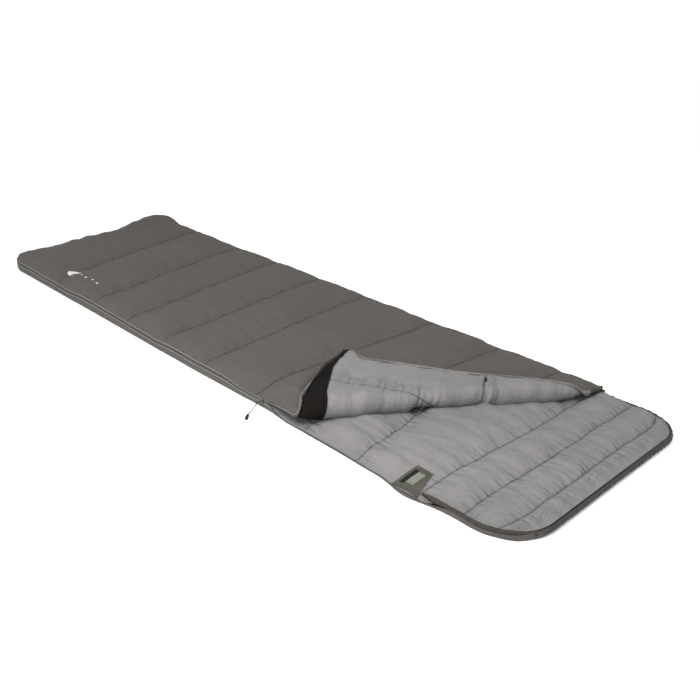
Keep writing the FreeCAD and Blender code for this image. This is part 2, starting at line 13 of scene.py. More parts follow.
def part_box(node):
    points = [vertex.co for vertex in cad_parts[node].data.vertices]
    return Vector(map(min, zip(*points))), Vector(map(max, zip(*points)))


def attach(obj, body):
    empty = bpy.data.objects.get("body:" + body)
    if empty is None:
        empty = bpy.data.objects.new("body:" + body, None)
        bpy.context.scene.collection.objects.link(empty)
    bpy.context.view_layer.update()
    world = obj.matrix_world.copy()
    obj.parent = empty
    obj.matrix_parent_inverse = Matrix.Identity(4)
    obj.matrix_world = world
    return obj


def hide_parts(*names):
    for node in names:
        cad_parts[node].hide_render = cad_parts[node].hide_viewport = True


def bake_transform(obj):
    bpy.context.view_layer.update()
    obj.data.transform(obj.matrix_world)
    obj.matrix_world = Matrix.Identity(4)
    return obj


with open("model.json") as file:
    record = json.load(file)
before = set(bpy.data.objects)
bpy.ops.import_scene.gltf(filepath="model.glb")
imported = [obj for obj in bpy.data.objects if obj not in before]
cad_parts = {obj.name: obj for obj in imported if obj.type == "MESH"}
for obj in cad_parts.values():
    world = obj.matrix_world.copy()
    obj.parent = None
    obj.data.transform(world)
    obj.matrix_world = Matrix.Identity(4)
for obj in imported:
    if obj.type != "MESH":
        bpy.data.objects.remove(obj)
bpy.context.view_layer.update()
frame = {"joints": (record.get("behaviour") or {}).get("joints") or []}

# ---- sizes, in metres: read from the CAD frame where it has them, and otherwise as drawn there
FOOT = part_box("bottom_shell")[0].x
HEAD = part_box("hood_rim")[1].x
COVER_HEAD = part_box("top_shell")[1].x
BASE_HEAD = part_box("bottom_lining")[1].x
HOOD_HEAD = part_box("hood_lining")[1].x
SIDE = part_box("bottom_shell")[1].y
HOOD_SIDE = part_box("hood_lining")[1].y
FOOT_RADIUS = 0.079
HOOD_RADIUS = 0.112
RIM_RADIUS = HOOD_RADIUS + 0.008
FLAP_RADIUS = 0.030
BASE_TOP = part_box("bottom_lining")[1].z
COVER_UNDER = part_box("top_lining")[0].z
COVER_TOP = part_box("top_shell")[1].z
COVER_MIDDLE = (COVER_UNDER + COVER_TOP) / 2
ZIP_FOOT_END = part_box("zip_bottom_stop")[1].y
SLIDER_REST = (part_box("zip_slider")[0].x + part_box("zip_slider")[1].x) / 2
ZIP_MIDDLE = (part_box("zip_slider")[0].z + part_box("zip_slider")[1].z) / 2

hinge = [j for j in frame["joints"] if j["name"] == "corner_fold"][0]
HINGE_POINT = np.array(hinge["pos_m"], float)
HINGE_AXIS = np.array(hinge["axis"], float)
ALONG = HINGE_AXIS[:2] / np.linalg.norm(HINGE_AXIS[:2])
ACROSS = np.array([ALONG[1], -ALONG[0]])
BEND_CENTRE = HINGE_POINT[2]
BEND_RADIUS = BEND_CENTRE - COVER_MIDDLE
BEND_LENGTH = math.pi * BEND_RADIUS
BEND_START = HINGE_POINT[:2] - ACROSS * BEND_LENGTH / 2
FOLD_X = BEND_START[0] + ALONG[0] / ALONG[1] * (-SIDE - BEND_START[1])

ARC_X = FOOT + FOOT_RADIUS
ARC_Y = -SIDE + FOOT_RADIUS
STRAIGHT_RUN = COVER_HEAD - ARC_X
ARC_RUN = FOOT_RADIUS * math.pi / 2
ZIP_RUN = STRAIGHT_RUN + ARC_RUN + ZIP_FOOT_END - ARC_Y

# What only the visible cloth has: how far its foot end lies askew, the heights of its edges, its seams.
FOOT_SKEW = 0.092
NEAR_SKEW = 0.118
COVER_EDGE = 0.0340
LINING_EDGE = 0.0330
BASE_EDGE = 0.0215
PATCH_SHIFT = (0.016, -0.014)
PITCH = 0.0085
COVER_SEAMS = [-0.760] + [-0.495 + 0.21 * i for i in range(7)]
BASE_SEAMS = [-1.020 + 0.171 * i for i in range(11)] + [BASE_HEAD - 0.032, 0.976, 1.064]
LINING_SEAMS = [-0.810 + 0.21 * i for i in range(8)]
LENGTHWISE_SEAM = 0.020
CLEAR_OF_SEAM = 0.02
SEAM_SHARPNESS = 0.75
ON_LINE = 1e-6
CLOTH_FRAMES = 18


# ---- numbers
def smooth(t):
    t = np.clip(t, 0.0, 1.0)
    return t * t * (3 - 2 * t)


def near(d, reach):
    """1 at no distance, falling to 0 a few reaches away."""
    return np.exp(-((np.maximum(d, 0) / reach) ** 2))


def ripple(values, scale, seed):
    """A smooth random wave between -1 and 1 along the values."""
    return np.array([noise.noise(Vector((float(v) * scale, seed, 0.37))) for v in np.ravel(values)])


def ripple2(x, y, scale, seed):
    return np.array([noise.noise(Vector((a * scale, b * scale, seed))) for a, b in zip(x, y)])


def stops(a, b, lines, pitch):
    """Grid coordinates from a to b, with every line on one of them."""
    marks = [a] + [v for v in lines if a + 1e-6 < v < b - 1e-6] + [b]
    out = [a]
    for p, q in zip(marks, marks[1:]):
        n = max(1, round((q - p) / pitch))
        out += [p + (q - p) * (i + 1) / n for i in range(n)]
    return np.array(out)


def between(x, lines):
    """0 on the lines and 1 half way between two of them, as full as a stuffed channel."""
    lines = np.array(lines)
    k = np.clip(np.searchsorted(lines, x), 1, len(lines) - 1)
    t = 2 * (x - lines[k - 1]) / (lines[k] - lines[k - 1]) - 1
    return np.clip(1 - np.abs(t) ** 2.6, 0, 1) ** 0.8


def off(x, lines):
    """Distance to the nearest line."""
    return np.abs(np.subtract.outer(x, np.array(lines))).min(axis=1)


def brow(d, reach):
    """A pillow's edge: 0 at the border, rising in a quarter of an ellipse to 1."""
    t = 1 - np.clip(d / reach, 0, 1)
    return np.sqrt(np.clip(1 - t * t, 0, 1))


def bell(x, middle, width):
    """1 at the middle, falling to 0 on both sides."""
    return np.exp(-(((x - middle) / width) ** 2))


# ---- meshes
def add_object(name, data):
    obj = bpy.data.objects.new(name, data)
    bpy.context.scene.collection.objects.link(obj)
    return obj


def make(name, co, faces, smooth_faces=True):
    mesh = bpy.data.meshes.new(name)
    mesh.from_pydata(np.asarray(co, float).tolist(), [], faces)
    mesh.update()
    if smooth_faces:
        mesh.polygons.foreach_set("use_smooth", [True] * len(mesh.polygons))
    return add_object(name, mesh)


def points(obj):
    co = np.zeros(len(obj.data.vertices) * 3)
    obj.data.vertices.foreach_get("co", co)
    return co.reshape(-1, 3)


def place(obj, co):
    obj.data.vertices.foreach_set("co", np.asarray(co, float).ravel())
    obj.data.update()


def note(obj, name, values):
    """Keeps a number or a vector on each point, for the materials."""
    values = np.asarray(values, float)
    kind = "FLOAT" if values.ndim == 1 else "FLOAT_VECTOR"
    layer = obj.data.attributes.get(name) or obj.data.attributes.new(name, kind, "POINT")
    layer.data.foreach_set("value" if kind == "FLOAT" else "vector", values.ravel())


def lattice(nx, ny, flip=False):
    faces = []
    for i in range(nx - 1):
        for j in range(ny - 1):
            a = i * ny + j
            face = (a, a + ny, a + ny + 1, a + 1)
            faces.append(face[::-1] if flip else face)
    return faces


def evaluated(obj):
    """Applies the modifiers to the object's own mesh."""
    graph = bpy.context.evaluated_depsgraph_get()
    mesh = bpy.data.meshes.new_from_object(obj.evaluated_get(graph))
    obj.modifiers.clear()
    obj.data = mesh
    mesh.polygons.foreach_set("use_smooth", [True] * len(mesh.polygons))
    return obj


def subdivide(obj):
    smoothing = obj.modifiers.new("smooth", "SUBSURF")
    smoothing.levels = 1
    smoothing.render_levels = 1
    smoothing.boundary_smooth = "PRESERVE_CORNERS"
    return evaluated(obj)


def crease(obj, on_seam):
    """Keeps the seams' valleys sharp when the mesh is subdivided."""
    layer = obj.data.attributes.new("crease_edge", "FLOAT", "EDGE")
    ends = np.zeros(len(obj.data.edges) * 2, int)
    obj.data.edges.foreach_get("vertices", ends)
    ends = ends.reshape(-1, 2)
    both = on_seam[ends[:, 0]] & on_seam[ends[:, 1]]
    layer.data.foreach_set("value", both.astype(float) * SEAM_SHARPNESS)


CLOTH = {
    "vertex_group_mass": "pin", "pin_stiffness": 1, "quality": 4, "mass": 0.15, "tension_stiffness": 15,
    "compression_stiffness": 15, "shear_stiffness": 5, "bending_stiffness": 0.15, "tension_damping": 5,
    "compression_damping": 5, "bending_damping": 0.5, "air_damping": 2, "use_pressure": True,
    "uniform_pressure_force": 1.0, "vertex_group_shrink": "slack", "shrink_min": -0.014,
    "shrink_max": -0.075,
}


def settle(obj, pinned, slack, cap):
    """Lets a stitched fabric ripple and fill as cloth, held at its seams, and keeps the result."""
    start = points(obj)
    hold = obj.vertex_groups.new(name="pin")
    hold.add([int(i) for i in np.nonzero(pinned)[0]], 1.0, "REPLACE")
    loose = obj.vertex_groups.new(name="slack")
    for i, w in enumerate(slack):
        if w > 0.01:
            loose.add([i], float(w), "REPLACE")
    cloth = obj.modifiers.new("cloth", "CLOTH")
    cloth.settings.effector_weights.gravity = 0
    for setting, value in CLOTH.items():
        setattr(cloth.settings, setting, value)
    cloth.collision_settings.use_collision = False
    cloth.collision_settings.use_self_collision = False
    cloth.point_cache.frame_end = CLOTH_FRAMES + 2
    for moment in range(1, CLOTH_FRAMES + 1):
        bpy.context.scene.frame_set(moment)
    evaluated(obj)
    obj.vertex_groups.clear()
    move = points(obj) - start
    size = np.linalg.norm(move, axis=1)
    move *= np.minimum(1, cap / np.maximum(size, 1e-9))[:, None]
    place(obj, start + move)
    bpy.context.scene.frame_set(1)
    return obj


def reshape(obj, *steps):
    """Moves the object's points through one function after another."""
    co = points(obj)
    for step in steps:
        co = step(co)
    place(obj, co)


def skin(name, co, flat, around, closed=True, flip=False):
    """Joins rows of points, each with the same number around it, into a capped tube or an open strip."""
    faces = []
    for i in range(len(co) // around - 1):
        for k in range(around if closed else around - 1):
            a = i * around + k
            b = i * around + (k + 1) % around
            faces.append((a, b, b + around, a + around))
    if closed:
        faces.append(tuple(range(around))[::-1])
        faces.append(tuple(range(len(co) - around, len(co))))
    if flip:
        faces = [face[::-1] for face in faces]
    obj = make(name, np.array(co), faces)
    note(obj, "flat", np.array(flat))
    return obj


def from_bmesh(name, bm):
    mesh = bpy.data.meshes.new(name)
    bm.to_mesh(mesh)
    bm.free()
    return add_object(name, mesh)


def cut(obj, point, normal):
    """Keeps what lies on the normal's side of an upright plane."""
    bm = bmesh.new()
    bm.from_mesh(obj.data)
    whole = bm.verts[:] + bm.edges[:] + bm.faces[:]
    bmesh.ops.bisect_plane(bm, geom=whole, plane_co=point, plane_no=normal, clear_inner=True, dist=1e-5)
    bm.to_mesh(obj.data)
    bm.free()
    obj.data.update()


def copy_of(obj, name):
    other = obj.copy()
    other.data = obj.data.copy()
    other.name = name
    other.data.name = name
    bpy.context.scene.collection.objects.link(other)
    return other


def round_corner(co, corner, inward, radius):
    """Draws the grid's square corner in to a round one."""
    a = 1 - (co[:, 0] - corner[0]) * inward[0] / radius
    b = 1 - (co[:, 1] - corner[1]) * inward[1] / radius
    i = (a > 0) & (b > 0)
    a = np.clip(a, 0, 1)
    b = np.clip(b, 0, 1)
    co[i, 0] = (corner[0] + inward[0] * radius * (1 - a * np.sqrt(1 - b * b / 2)))[i]
    co[i, 1] = (corner[1] + inward[1] * radius * (1 - b * np.sqrt(1 - a * a / 2)))[i]


def round_end(co, x, y, inward, radius):
    """Rounds both corners of one end."""
    for side in (-1, 1):
        round_corner(co, (x, side * y), (inward, -side), radius)


# ---- the shapes that every piece shares
def fold_place(x, y):
    """(across, along) from the line where the cover starts to bend."""
    p = np.stack([x, y], axis=1) - HINGE_POINT[:2]
    return p @ ACROSS + BEND_LENGTH / 2, p @ ALONG


def curl(x, y):
    """How far the folded corner's free tip stands up."""
    tip = near(np.hypot(x - COVER_HEAD, y + SIDE), 0.09)
    edge = near(y + SIDE, 0.05) * smooth((x - 0.53) / 0.12)
    return 0.0040 * tip + 0.0050 * edge


def bow_hem(co):
    """The corner's head edge bows in between its tip and the fold."""
    out = co.copy()
    middle = smooth((co[:, 1] + SIDE - 0.015) / 0.05) * smooth((0.20 - co[:, 1]) / 0.30)
    out[:, 0] -= 0.042 * middle * near(COVER_HEAD - co[:, 0], 0.12)
    return out


def folded(co):
    """Points of the closed bag's cover corner, turned back over the bend to where they rest."""
    x, y, z = bow_hem(co).T
    across, along = fold_place(x, y)
    turn = np.clip(across / BEND_RADIUS, 0, math.pi)
    r = np.maximum(0.0025, BEND_RADIUS - (z - COVER_MIDDLE))
    past = np.maximum(across - BEND_LENGTH, 0)
    reach = np.minimum(across, 0) + r * np.sin(turn) - past
    out = np.empty_like(co)
    out[:, :2] = HINGE_POINT[:2] + np.outer(reach - BEND_LENGTH / 2, ACROSS) + np.outer(along, ALONG)
    out[:, 2] = BEND_CENTRE - r * np.cos(turn) + curl(x, y) * smooth(past / 0.08)
    tip = near(np.hypot(x - COVER_HEAD, y + SIDE), 0.14) * smooth(past / 0.08)
    out[:, 0] += 0.040 * tip
    out[:, 1] += 0.004 * tip
    return out


def splay(co):
    """The corner's zipped edge opens out, so that its piping lies outside its tape."""
    inside = co[:, 1] + SIDE
    out = co.copy()
    lean = smooth((co[:, 2] - 0.0265) / 0.007) * smooth((co[:, 0] - 0.50) / 0.06)
    out[:, 1] -= (0.0080 - 0.0095 * smooth((co[:, 0] - 0.56) / 0.12)) * lean * near(inside, 0.03)
    return out


def rim_place(x, y):
    """(run, inside): how far round the zipped border from its head end, and how far in from it."""
    run = COVER_HEAD - x
    inside = y + SIDE
    foot_side = (y > ARC_Y) & (x - FOOT < y + SIDE)
    corner = (x < ARC_X) & (y < ARC_Y)
    angle = np.arctan2(ARC_X - x, ARC_Y - y)
    run = np.where(foot_side, STRAIGHT_RUN + ARC_RUN + y - ARC_Y, run)
    inside = np.where(foot_side, x - FOOT, inside)
    run = np.where(corner, STRAIGHT_RUN + FOOT_RADIUS * angle, run)
    inside = np.where(corner, FOOT_RADIUS - np.hypot(x - ARC_X, y - ARC_Y), inside)
    return run, inside


def sway(co, cover):
    """The border's small waves, the same for every layer sewn along it, and what its open edges do."""
    x, y, z = co.T
    run, inside = rim_place(x, y)
    quiet = 1 - near(np.abs(run - (COVER_HEAD - SLIDER_REST)), 0.06)
    hold = near(inside, 0.05) * quiet * smooth(z / 0.012)
    out = co.copy()
    out[:, 2] += hold * (0.0048 * ripple(run, 5.5, 2.1) + 0.0026 * ripple(run, 13, 7.7))
    sideways = 0.0034 * ripple(run, 6.5, 5.3) + 0.0014 * ripple(run, 17, 1.9)
    out[:, 1] += hold * sideways * (x > FOOT + 0.04)
    across, _ = fold_place(x, y)
    free = smooth((x - SLIDER_REST - 0.005) / 0.05) * smooth((0.02 - across) / 0.04)
    if cover:
        out[:, 2] += 0.0045 * free * near(inside, 0.03)
        out[:, 2] -= 0.75 * np.maximum(z - 0.0270, 0) * pinch(x) * near(inside, 0.045)
    else:
        out[:, 1] -= 0.019 * bell(x, 0.845, 0.055) * near(inside, 0.10)
        out[:, 2] -= 0.80 * z * sag(x) * near(inside, 0.05)
        out[:, 1] += 0.006 * pinch(x) * near(inside, 0.03) * (z < 0.012)
    return askew(out)


def pinch(x):
    """How far the border is drawn down onto the zip, round the slider."""
    return bell(x, SLIDER_REST - 0.01, 0.13)


def sway_cover(co):
    return sway(co, True)


def sway_base(co):
    return sway(co, False)


def sag(x):
    """Where the open zip's edges lose their height, towards the head end."""
    head_end = (1 - 0.6 * smooth((x - 0.90) / 0.06)) * (1 - 0.4 * bell(x, 0.849, 0.03))
    return smooth((x - SLIDER_REST - 0.012) / 0.08) * head_end


def askew(co):
    """Lets the foot end lie a little askew: the zipped side is drawn up, the far side reaches down."""
    out = co.copy()
    skew = np.where(co[:, 1] > 0, FOOT_SKEW, NEAR_SKEW)
    out[:, 0] -= skew * smooth((0.30 - co[:, 0]) / 1.35) * co[:, 1] / SIDE
    return out


def turned(x, y):
    """The closed place of a point that rests on the turned-back corner, and the other way round."""
    across, _ = fold_place(x, y)
    return np.stack([x, y], axis=1) + np.outer(BEND_LENGTH - 2 * across, ACROSS)


def flap_cover(x, y):
    """1 where the turned-back corner lies on the cover, falling to 0 round it."""
    across, _ = fold_place(x, y)
    p = turned(x, y)
    margin = np.minimum(COVER_HEAD - p[:, 0], p[:, 1] + SIDE)
    return smooth((margin + 0.03) / 0.03) * smooth((0.03 - across) / 0.02)


# ---- materials
class Nodes:
    """A short way to write one material's nodes."""

    def __init__(self, name, roughness, sheen=0.0, metallic=0.0, specular=0.5):
        self.material = bpy.data.materials.new(name)
        self.material.use_nodes = True
        self.tree = self.material.node_tree
        self.shader = self.tree.nodes["Principled BSDF"]
        self.put(self.shader, "Roughness", roughness)
        self.put(self.shader, "Metallic", metallic)
        self.put(self.shader, "Specular IOR Level", specular)
        self.put(self.shader, "Sheen Weight", sheen)
        self.height = None

    def link(self, a, b):
        self.tree.links.new(a, b)

    def new(self, kind, **values):
        node = self.tree.nodes.new("ShaderNode" + kind)
        for key, value in values.items():
            setattr(node, key, value)
        return node

    def put(self, node, socket, value):
        target = node.inputs[socket]
        if isinstance(value, bpy.types.NodeSocket):
            self.link(value, target)
        else:
            target.default_value = value

    def math(self, op, *values):
        """One operation on a value, or on two and then on its result and each further one."""
        out = values[0]
        for value in values[1:] or (0.0,):
            node = self.new("Math", operation=op)
            self.put(node, 0, out)
            self.put(node, 1, value)
            out = node.outputs[0]
        return out

    def attribute(self, name, output):
        return self.new("Attribute", attribute_name=name).outputs[output]

    def scaled(self, vector, scale):
        node = self.new("Mapping")
        self.put(node, "Vector", vector)
        self.put(node, "Scale", scale)
        return node.outputs[0]

    def noise(self, vector, scale, detail=2.0, rough=0.5, distortion=0.0):
        node = self.new("TexNoise")
        self.put(node, "Vector", vector)
        self.put(node, "Scale", scale)
        self.put(node, "Detail", detail)
        self.put(node, "Roughness", rough)
        self.put(node, "Distortion", distortion)
        return node.outputs["Fac"]

    def remap(self, value, a, b, c=0.0, d=1.0):
        """Takes a to c and b to d, smoothly."""
        node = self.new("MapRange", interpolation_type="SMOOTHSTEP")
        for socket, item in enumerate((value, a, b, c, d)):
            self.put(node, socket, item)
        return node.outputs[0]

    def mix(self, factor, a, b, kind="MIX"):
        node = self.new("Mix", data_type="RGBA", blend_type=kind)
        for socket, item in ((0, factor), (6, a), (7, b)):
            self.put(node, socket, item)
        return node.outputs[2]

    def grey(self, value):
        node = self.new("CombineColor")
        for i in range(3):
            self.put(node, i, value)
        return node.outputs[0]

    def shaded(self, colour, tone):
        """The colour, lighter or darker by a tone about 1."""
        return self.mix(1.0, colour, self.grey(tone), "MULTIPLY")

    def uneven(self, vector, scale, low, high, detail=4, rough=0.6):
        """Noise between low and high."""
        return self.remap(self.noise(vector, scale, detail, rough), 0.3, 0.7, low, high)

    def weave(self, vector, pitch):
        """(x, y, height) of a plain weave's threads."""
        split = self.new("SeparateXYZ")
        self.put(split, 0, vector)
        x, y = split.outputs[0], split.outputs[1]
        waves = [self.math("SINE", self.math("MULTIPLY", way, math.tau / pitch)) for way in (x, y)]
        return x, y, self.math("MULTIPLY", *waves)

    def bump(self, height, distance):
        node = self.new("Bump")
        self.put(node, "Height", height)
        self.put(node, "Distance", distance)
        if self.height is not None:
            self.link(self.height, node.inputs["Normal"])
        self.height = node.outputs[0]

    def done(self, colour):
        self.put(self.shader, "Base Color", colour)
        if self.height is not None:
            self.link(self.height, self.shader.inputs["Normal"])
        return self.material


STITCH_LENGTH = 0.0034


def times(colour, share):
    return tuple(min(1.0, c * share) for c in colour[:3]) + (1.0,)


def fabric(name, colour, roughness, sheen, weave=0.0011, weave_depth=0.00012, crinkle=0.0016,
           crinkle_scale=26.0, mottle=0.10, stitched=True, gather=0.006, specular=0.35):
    """Woven cloth: a plain weave, soft crinkles, uneven dye and, when stitched, dark thread and painted
    shade along the seams.
    """
    n = Nodes(name, roughness, sheen=sheen, specular=specular)
    flat = n.attribute("flat", "Vector")
    x, y, cloth = n.weave(flat, weave)
    slub = n.uneven(n.scaled(flat, (60, 900, 1)), 1.0, -0.03, 0.03, 2, 0.5)
    broad = n.uneven(flat, 3.2, -mottle, mottle, 3, 0.55)
    close = n.uneven(flat, 38, -mottle / 2, mottle / 2)
    tone = n.math("ADD", broad, close, slub, n.math("MULTIPLY", cloth, 0.03), 1.0)
    paint = n.shaded(colour, tone)
    n.bump(cloth, weave_depth)
    fine = n.noise(n.scaled(flat, (1.0, 1.7, 1)), crinkle_scale * 3.2, 3, 0.6, 0.4)
    n.bump(fine, crinkle * 0.45)
    crumple = n.noise(n.scaled(flat, (1.5, 1.0, 1)), crinkle_scale, 3, 0.55, 0.8)
    n.bump(n.math("ABSOLUTE", n.math("SUBTRACT", crumple, 0.5)), crinkle * 2.2)
    if stitched:
        paint = stitching(n, flat, n.math("ADD", x, y), colour, paint, gather)
    return n.done(paint)


def stitching(n, flat, diagonal, colour, paint, gather):
    """Puckered grooves along the seams, with dark thread and painted shade in them."""
    seam = n.attribute("seam", "Fac")
    pucker = n.noise(n.scaled(flat, (9, 62, 1)), 1.0, 2, 0.5, 0.3)
    n.bump(n.math("MULTIPLY", pucker, n.remap(seam, 0.0, 0.045, 1, 0)), gather)
    n.bump(n.remap(seam, 0.0, 0.0035), 0.0022)
    run = n.math("FRACT", n.math("MULTIPLY", diagonal, 1 / STITCH_LENGTH))
    stitch = n.remap(n.math("ABSOLUTE", n.math("SUBTRACT", run, 0.5)), 0.36, 0.42, 1, 0)
    line = n.remap(seam, 0.0005, 0.0012, 1, 0)
    patchy = n.remap(n.noise(flat, 22), 0.35, 0.65, 0.15, 0.6)
    # painted shade: the seam's groove darkened towards the seam line, patchy along it
    shade = n.math("MULTIPLY", n.remap(seam, 0.0004, 0.0030, 1, 0), patchy)
    paint = n.mix(shade, paint, times(colour, 0.32))
    return n.mix(n.math("MULTIPLY", line, stitch, 0.8), paint, times(colour, 0.4))


SHELL_COLOUR = (0.0560, 0.0493, 0.0429, 1)
LINING_COLOUR = (0.137, 0.131, 0.130, 1)
SHELL = fabric("shell_cloth", SHELL_COLOUR, 0.74, 0.03, crinkle=0.0013, mottle=0.05, gather=0.010,
               specular=0.22)
LINING = fabric("lining_cloth", LINING_COLOUR, 0.70, 0.06, crinkle=0.0032, crinkle_scale=17, mottle=0.07,
                gather=0.020, specular=0.25)
BLACK = fabric("facing_cloth", (0.0052, 0.0043, 0.0036, 1), 0.9, 0.0, weave=0.0016, weave_depth=0.0003,
               crinkle=0.0040, mottle=0.25, stitched=False, specular=0.08)
RIM = fabric("rim_cloth", (0.030, 0.0275, 0.0245, 1), 0.75, 0.03, stitched=False, crinkle=0.003,
             crinkle_scale=60, specular=0.2)
PIPING = fabric("piping_cloth", (0.118, 0.116, 0.112, 1), 0.6, 0.05, stitched=False, crinkle=0.0004,
                mottle=0.04)
TAPE = fabric("tape_cloth", (0.038, 0.036, 0.033, 1), 0.7, 0.03, weave=0.0014, weave_depth=0.0003,
              stitched=False, crinkle=0.0003)


def plastic(name, colour, roughness, metallic=0.0, specular=0.5):
    """Moulded or cast material with a fine grain, slight unevenness and worn lighter edges."""
    n = Nodes(name, roughness, metallic=metallic, specular=specular)
    spot = n.new("TexCoord").outputs["Object"]
    worn = n.remap(n.new("NewGeometry").outputs["Pointiness"], 0.52, 0.6, 0, 0.35)
    paint = n.mix(worn, n.shaded(colour, n.uneven(spot, 120, 0.85, 1.15)), times(colour, 2.2))
    n.bump(n.noise(spot, 900, 3, 0.6), 0.0002)
    return n.done(paint)


def object_cloth(name, colour, roughness, weave=0.0012, depth=0.0002):
    """Woven cloth on a small part, drawn from the part's own coordinates."""
    n = Nodes(name, roughness, specular=0.15)
    spot = n.new("TexCoord").outputs["Object"]
    _, _, cloth = n.weave(spot, weave)
    tone = n.math("ADD", n.uneven(spot, 60, 0.9, 1.1), n.math("MULTIPLY", cloth, 0.05))
    paint = n.shaded(colour, tone)
    n.bump(cloth, depth)
    n.bump(n.noise(spot, 90, 3, 0.6), 0.0006)
    return n.done(paint)


METAL = plastic("slider_enamel", (0.034, 0.034, 0.034, 1), 0.38, metallic=0.5)
COIL = plastic("coil_nylon", (0.032, 0.030, 0.028, 1), 0.45, specular=0.3)
CORD = object_cloth("cord_braid", (0.020, 0.020, 0.019, 1), 0.7, 0.0009)
MOULDED = plastic("moulded_rubber", (0.010, 0.010, 0.010, 1), 0.55, specular=0.2)
PATCH = object_cloth("patch_weave", (0.056, 0.054, 0.044, 1), 0.7)
TAB_BLACK = object_cloth("tab_weave", (0.006, 0.006, 0.006, 1), 0.7)
LABEL_PALE = object_cloth("label_satin", (0.150, 0.148, 0.122, 1), 0.5)
THREAD = object_cloth("motif_thread", (0.62, 0.60, 0.57, 1), 0.6, 0.0008, 0.0003)


def dress(obj, material, body=None):
    obj.data.materials.clear()
    obj.data.materials.append(material)
    if body:
        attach(obj, body)
    return obj


def corner_piece(obj, material):
    """Dresses a piece of the folded corner and bakes its placement into its points."""
    dress(obj, material)
    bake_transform(obj)
    return obj


# ---- the camera and the light
def add_camera():
    azimuth = math.radians(41.61)
    elevation = math.radians(22.6)
    roll = math.radians(5.42)
    distance = 2.309
    target = Vector((0.2323, 0.0565, 0.0))
    level = math.cos(elevation)
    back = Vector((math.sin(azimuth) * level, -math.cos(azimuth) * level, math.sin(elevation)))
    right = (-back).cross(Vector((0, 0, 1))).normalized()
    up = right.cross(-back)
    x = right * math.cos(roll) + up * math.sin(roll)
    y = up * math.cos(roll) - right * math.sin(roll)
    data = bpy.data.cameras.new("camera")
    camera = add_object("camera", data)
    spot = target + back * distance
    camera.matrix_world = Matrix([(x[i], y[i], back[i], spot[i]) for i in range(3)] + [(0, 0, 0, 1)])
    data.sensor_width = 36
    data.lens = 39.6
    data.shift_x = 0.003
    data.clip_end = 100
    bpy.context.scene.camera = camera


def add_light(name, spot, aim, size, power):
    data = bpy.data.lights.new(name, "AREA")
    data.shape = "RECTANGLE"
    data.size = size[0]
    data.size_y = size[1]
    data.energy = power
    light = add_object(name, data)
    light.location = spot
    light.rotation_euler = (Vector(aim) - Vector(spot)).to_track_quat("-Z", "Y").to_euler()


def light_the_sky(tree):
    """A white studio: brighter overhead and on the zip's side than behind the bag, white to look at."""
    background = tree.nodes["Background"]
    way = tree.nodes.new("ShaderNodeTexCoord")
    lean = tree.nodes.new("ShaderNodeVectorMath")
    lean.operation = "DOT_PRODUCT"
    lean.inputs[1].default_value = (0.35, -0.50, 0.79)
    tree.links.new(way.outputs["Generated"], lean.inputs[0])
    ramp = tree.nodes.new("ShaderNodeMapRange")
    for socket, value in (("From Min", -0.2), ("From Max", 1.0), ("To Min", 0.53), ("To Max", 1.43)):
        ramp.inputs[socket].default_value = value
    tree.links.new(lean.outputs["Value"], ramp.inputs["Value"])
    seen = tree.nodes.new("ShaderNodeLightPath")
    pick = tree.nodes.new("ShaderNodeMix")
    pick.data_type = "FLOAT"
    pick.inputs[3].default_value = 1.05
    tree.links.new(seen.outputs["Is Camera Ray"], pick.inputs[0])
    tree.links.new(ramp.outputs[0], pick.inputs[2])
    tree.links.new(pick.outputs[0], background.inputs[1])
    background.inputs[0].default_value = (1, 1, 1, 1)


def add_studio():
    world = bpy.data.worlds.new("studio")
    world.use_nodes = True
    light_the_sky(world.node_tree)
    bpy.context.scene.world = world
    bpy.context.scene.view_settings.view_transform = "Standard"
    add_light("key", (0.7, -1.4, 1.7), (0.5, 0, 0), (1.5, 1.1), 60)
    add_light("fill", (1.3, -2.6, 0.40), (0.6, 0, 0.03), (1.6, 0.6), 11)
    floor = make("floor", [(-30, -30, 0), (30, -30, 0), (30, 30, 0), (-30, 30, 0)], [(0, 1, 2, 3)], False)
    n = Nodes("floor_paper", 0.9)
    tone = n.uneven(n.new("TexCoord").outputs["Object"], 3, 0.985, 1.0, 3, 0.5)
    floor.data.materials.append(n.done(n.shaded((0.965, 0.965, 0.965, 1), tone)))


# ---- quilted panels
def panel(name, xs, ys, outline, height, seam_distance, held, flip, gathers, cap):
    """A stuffed fabric face: a grid drawn in to its outline, raised, rippled as cloth and subdivided.

    gathers is how high its gathers stand, and cap is how far the cloth simulation may move a point.
    """
    gx, gy = np.meshgrid(xs, ys, indexing="ij")
    x, y = gx.ravel(), gy.ravel()
    co = np.column_stack([x, y, height(x, y)])
    seam = seam_distance(x, y)
    pinned = held(x, y)
    outline(co)
    x, y = co[:, 0], co[:, 1]
    wavy = 0.0014 * ripple2(x, y, 22, 3.1) + 0.0008 * ripple2(x, y, 70, 8.2)
    gather = ripple2(x * 0.16, y, 24, 5.7) + 0.5 * ripple2(x * 0.2, y, 52, 1.4)
    wavy += gathers * gather * (1 - near(seam, 0.012)) * near(seam, 0.085)
    wavy += 0.45 * gathers * creases(x, y) * (1 - near(seam, 0.020))
    co[:, 2] += np.where(pinned, 0, wavy) * (-1 if flip else 1)
    obj = make(name, co, lattice(len(xs), len(ys), flip))
    note(obj, "flat", np.column_stack([x, y, np.zeros(len(x))]))
    note(obj, "seam", seam)
    crease(obj, seam < ON_LINE)
    slack = np.clip(1 - seam / 0.06, 0, 1)
    settle(obj, pinned, slack, cap)
    return subdivide(obj)


def creases(x, y):
    """Long soft creases that run slantwise over a panel, here and there."""
    along = 0.93 * x + 0.37 * y
    across = 0.93 * y - 0.37 * x
    line = near(np.abs(ripple2(along * 0.22, across, 13, 6.4)), 0.11)
    return line * smooth((ripple2(x, y, 4.5, 2.9) + 0.15) / 0.3)


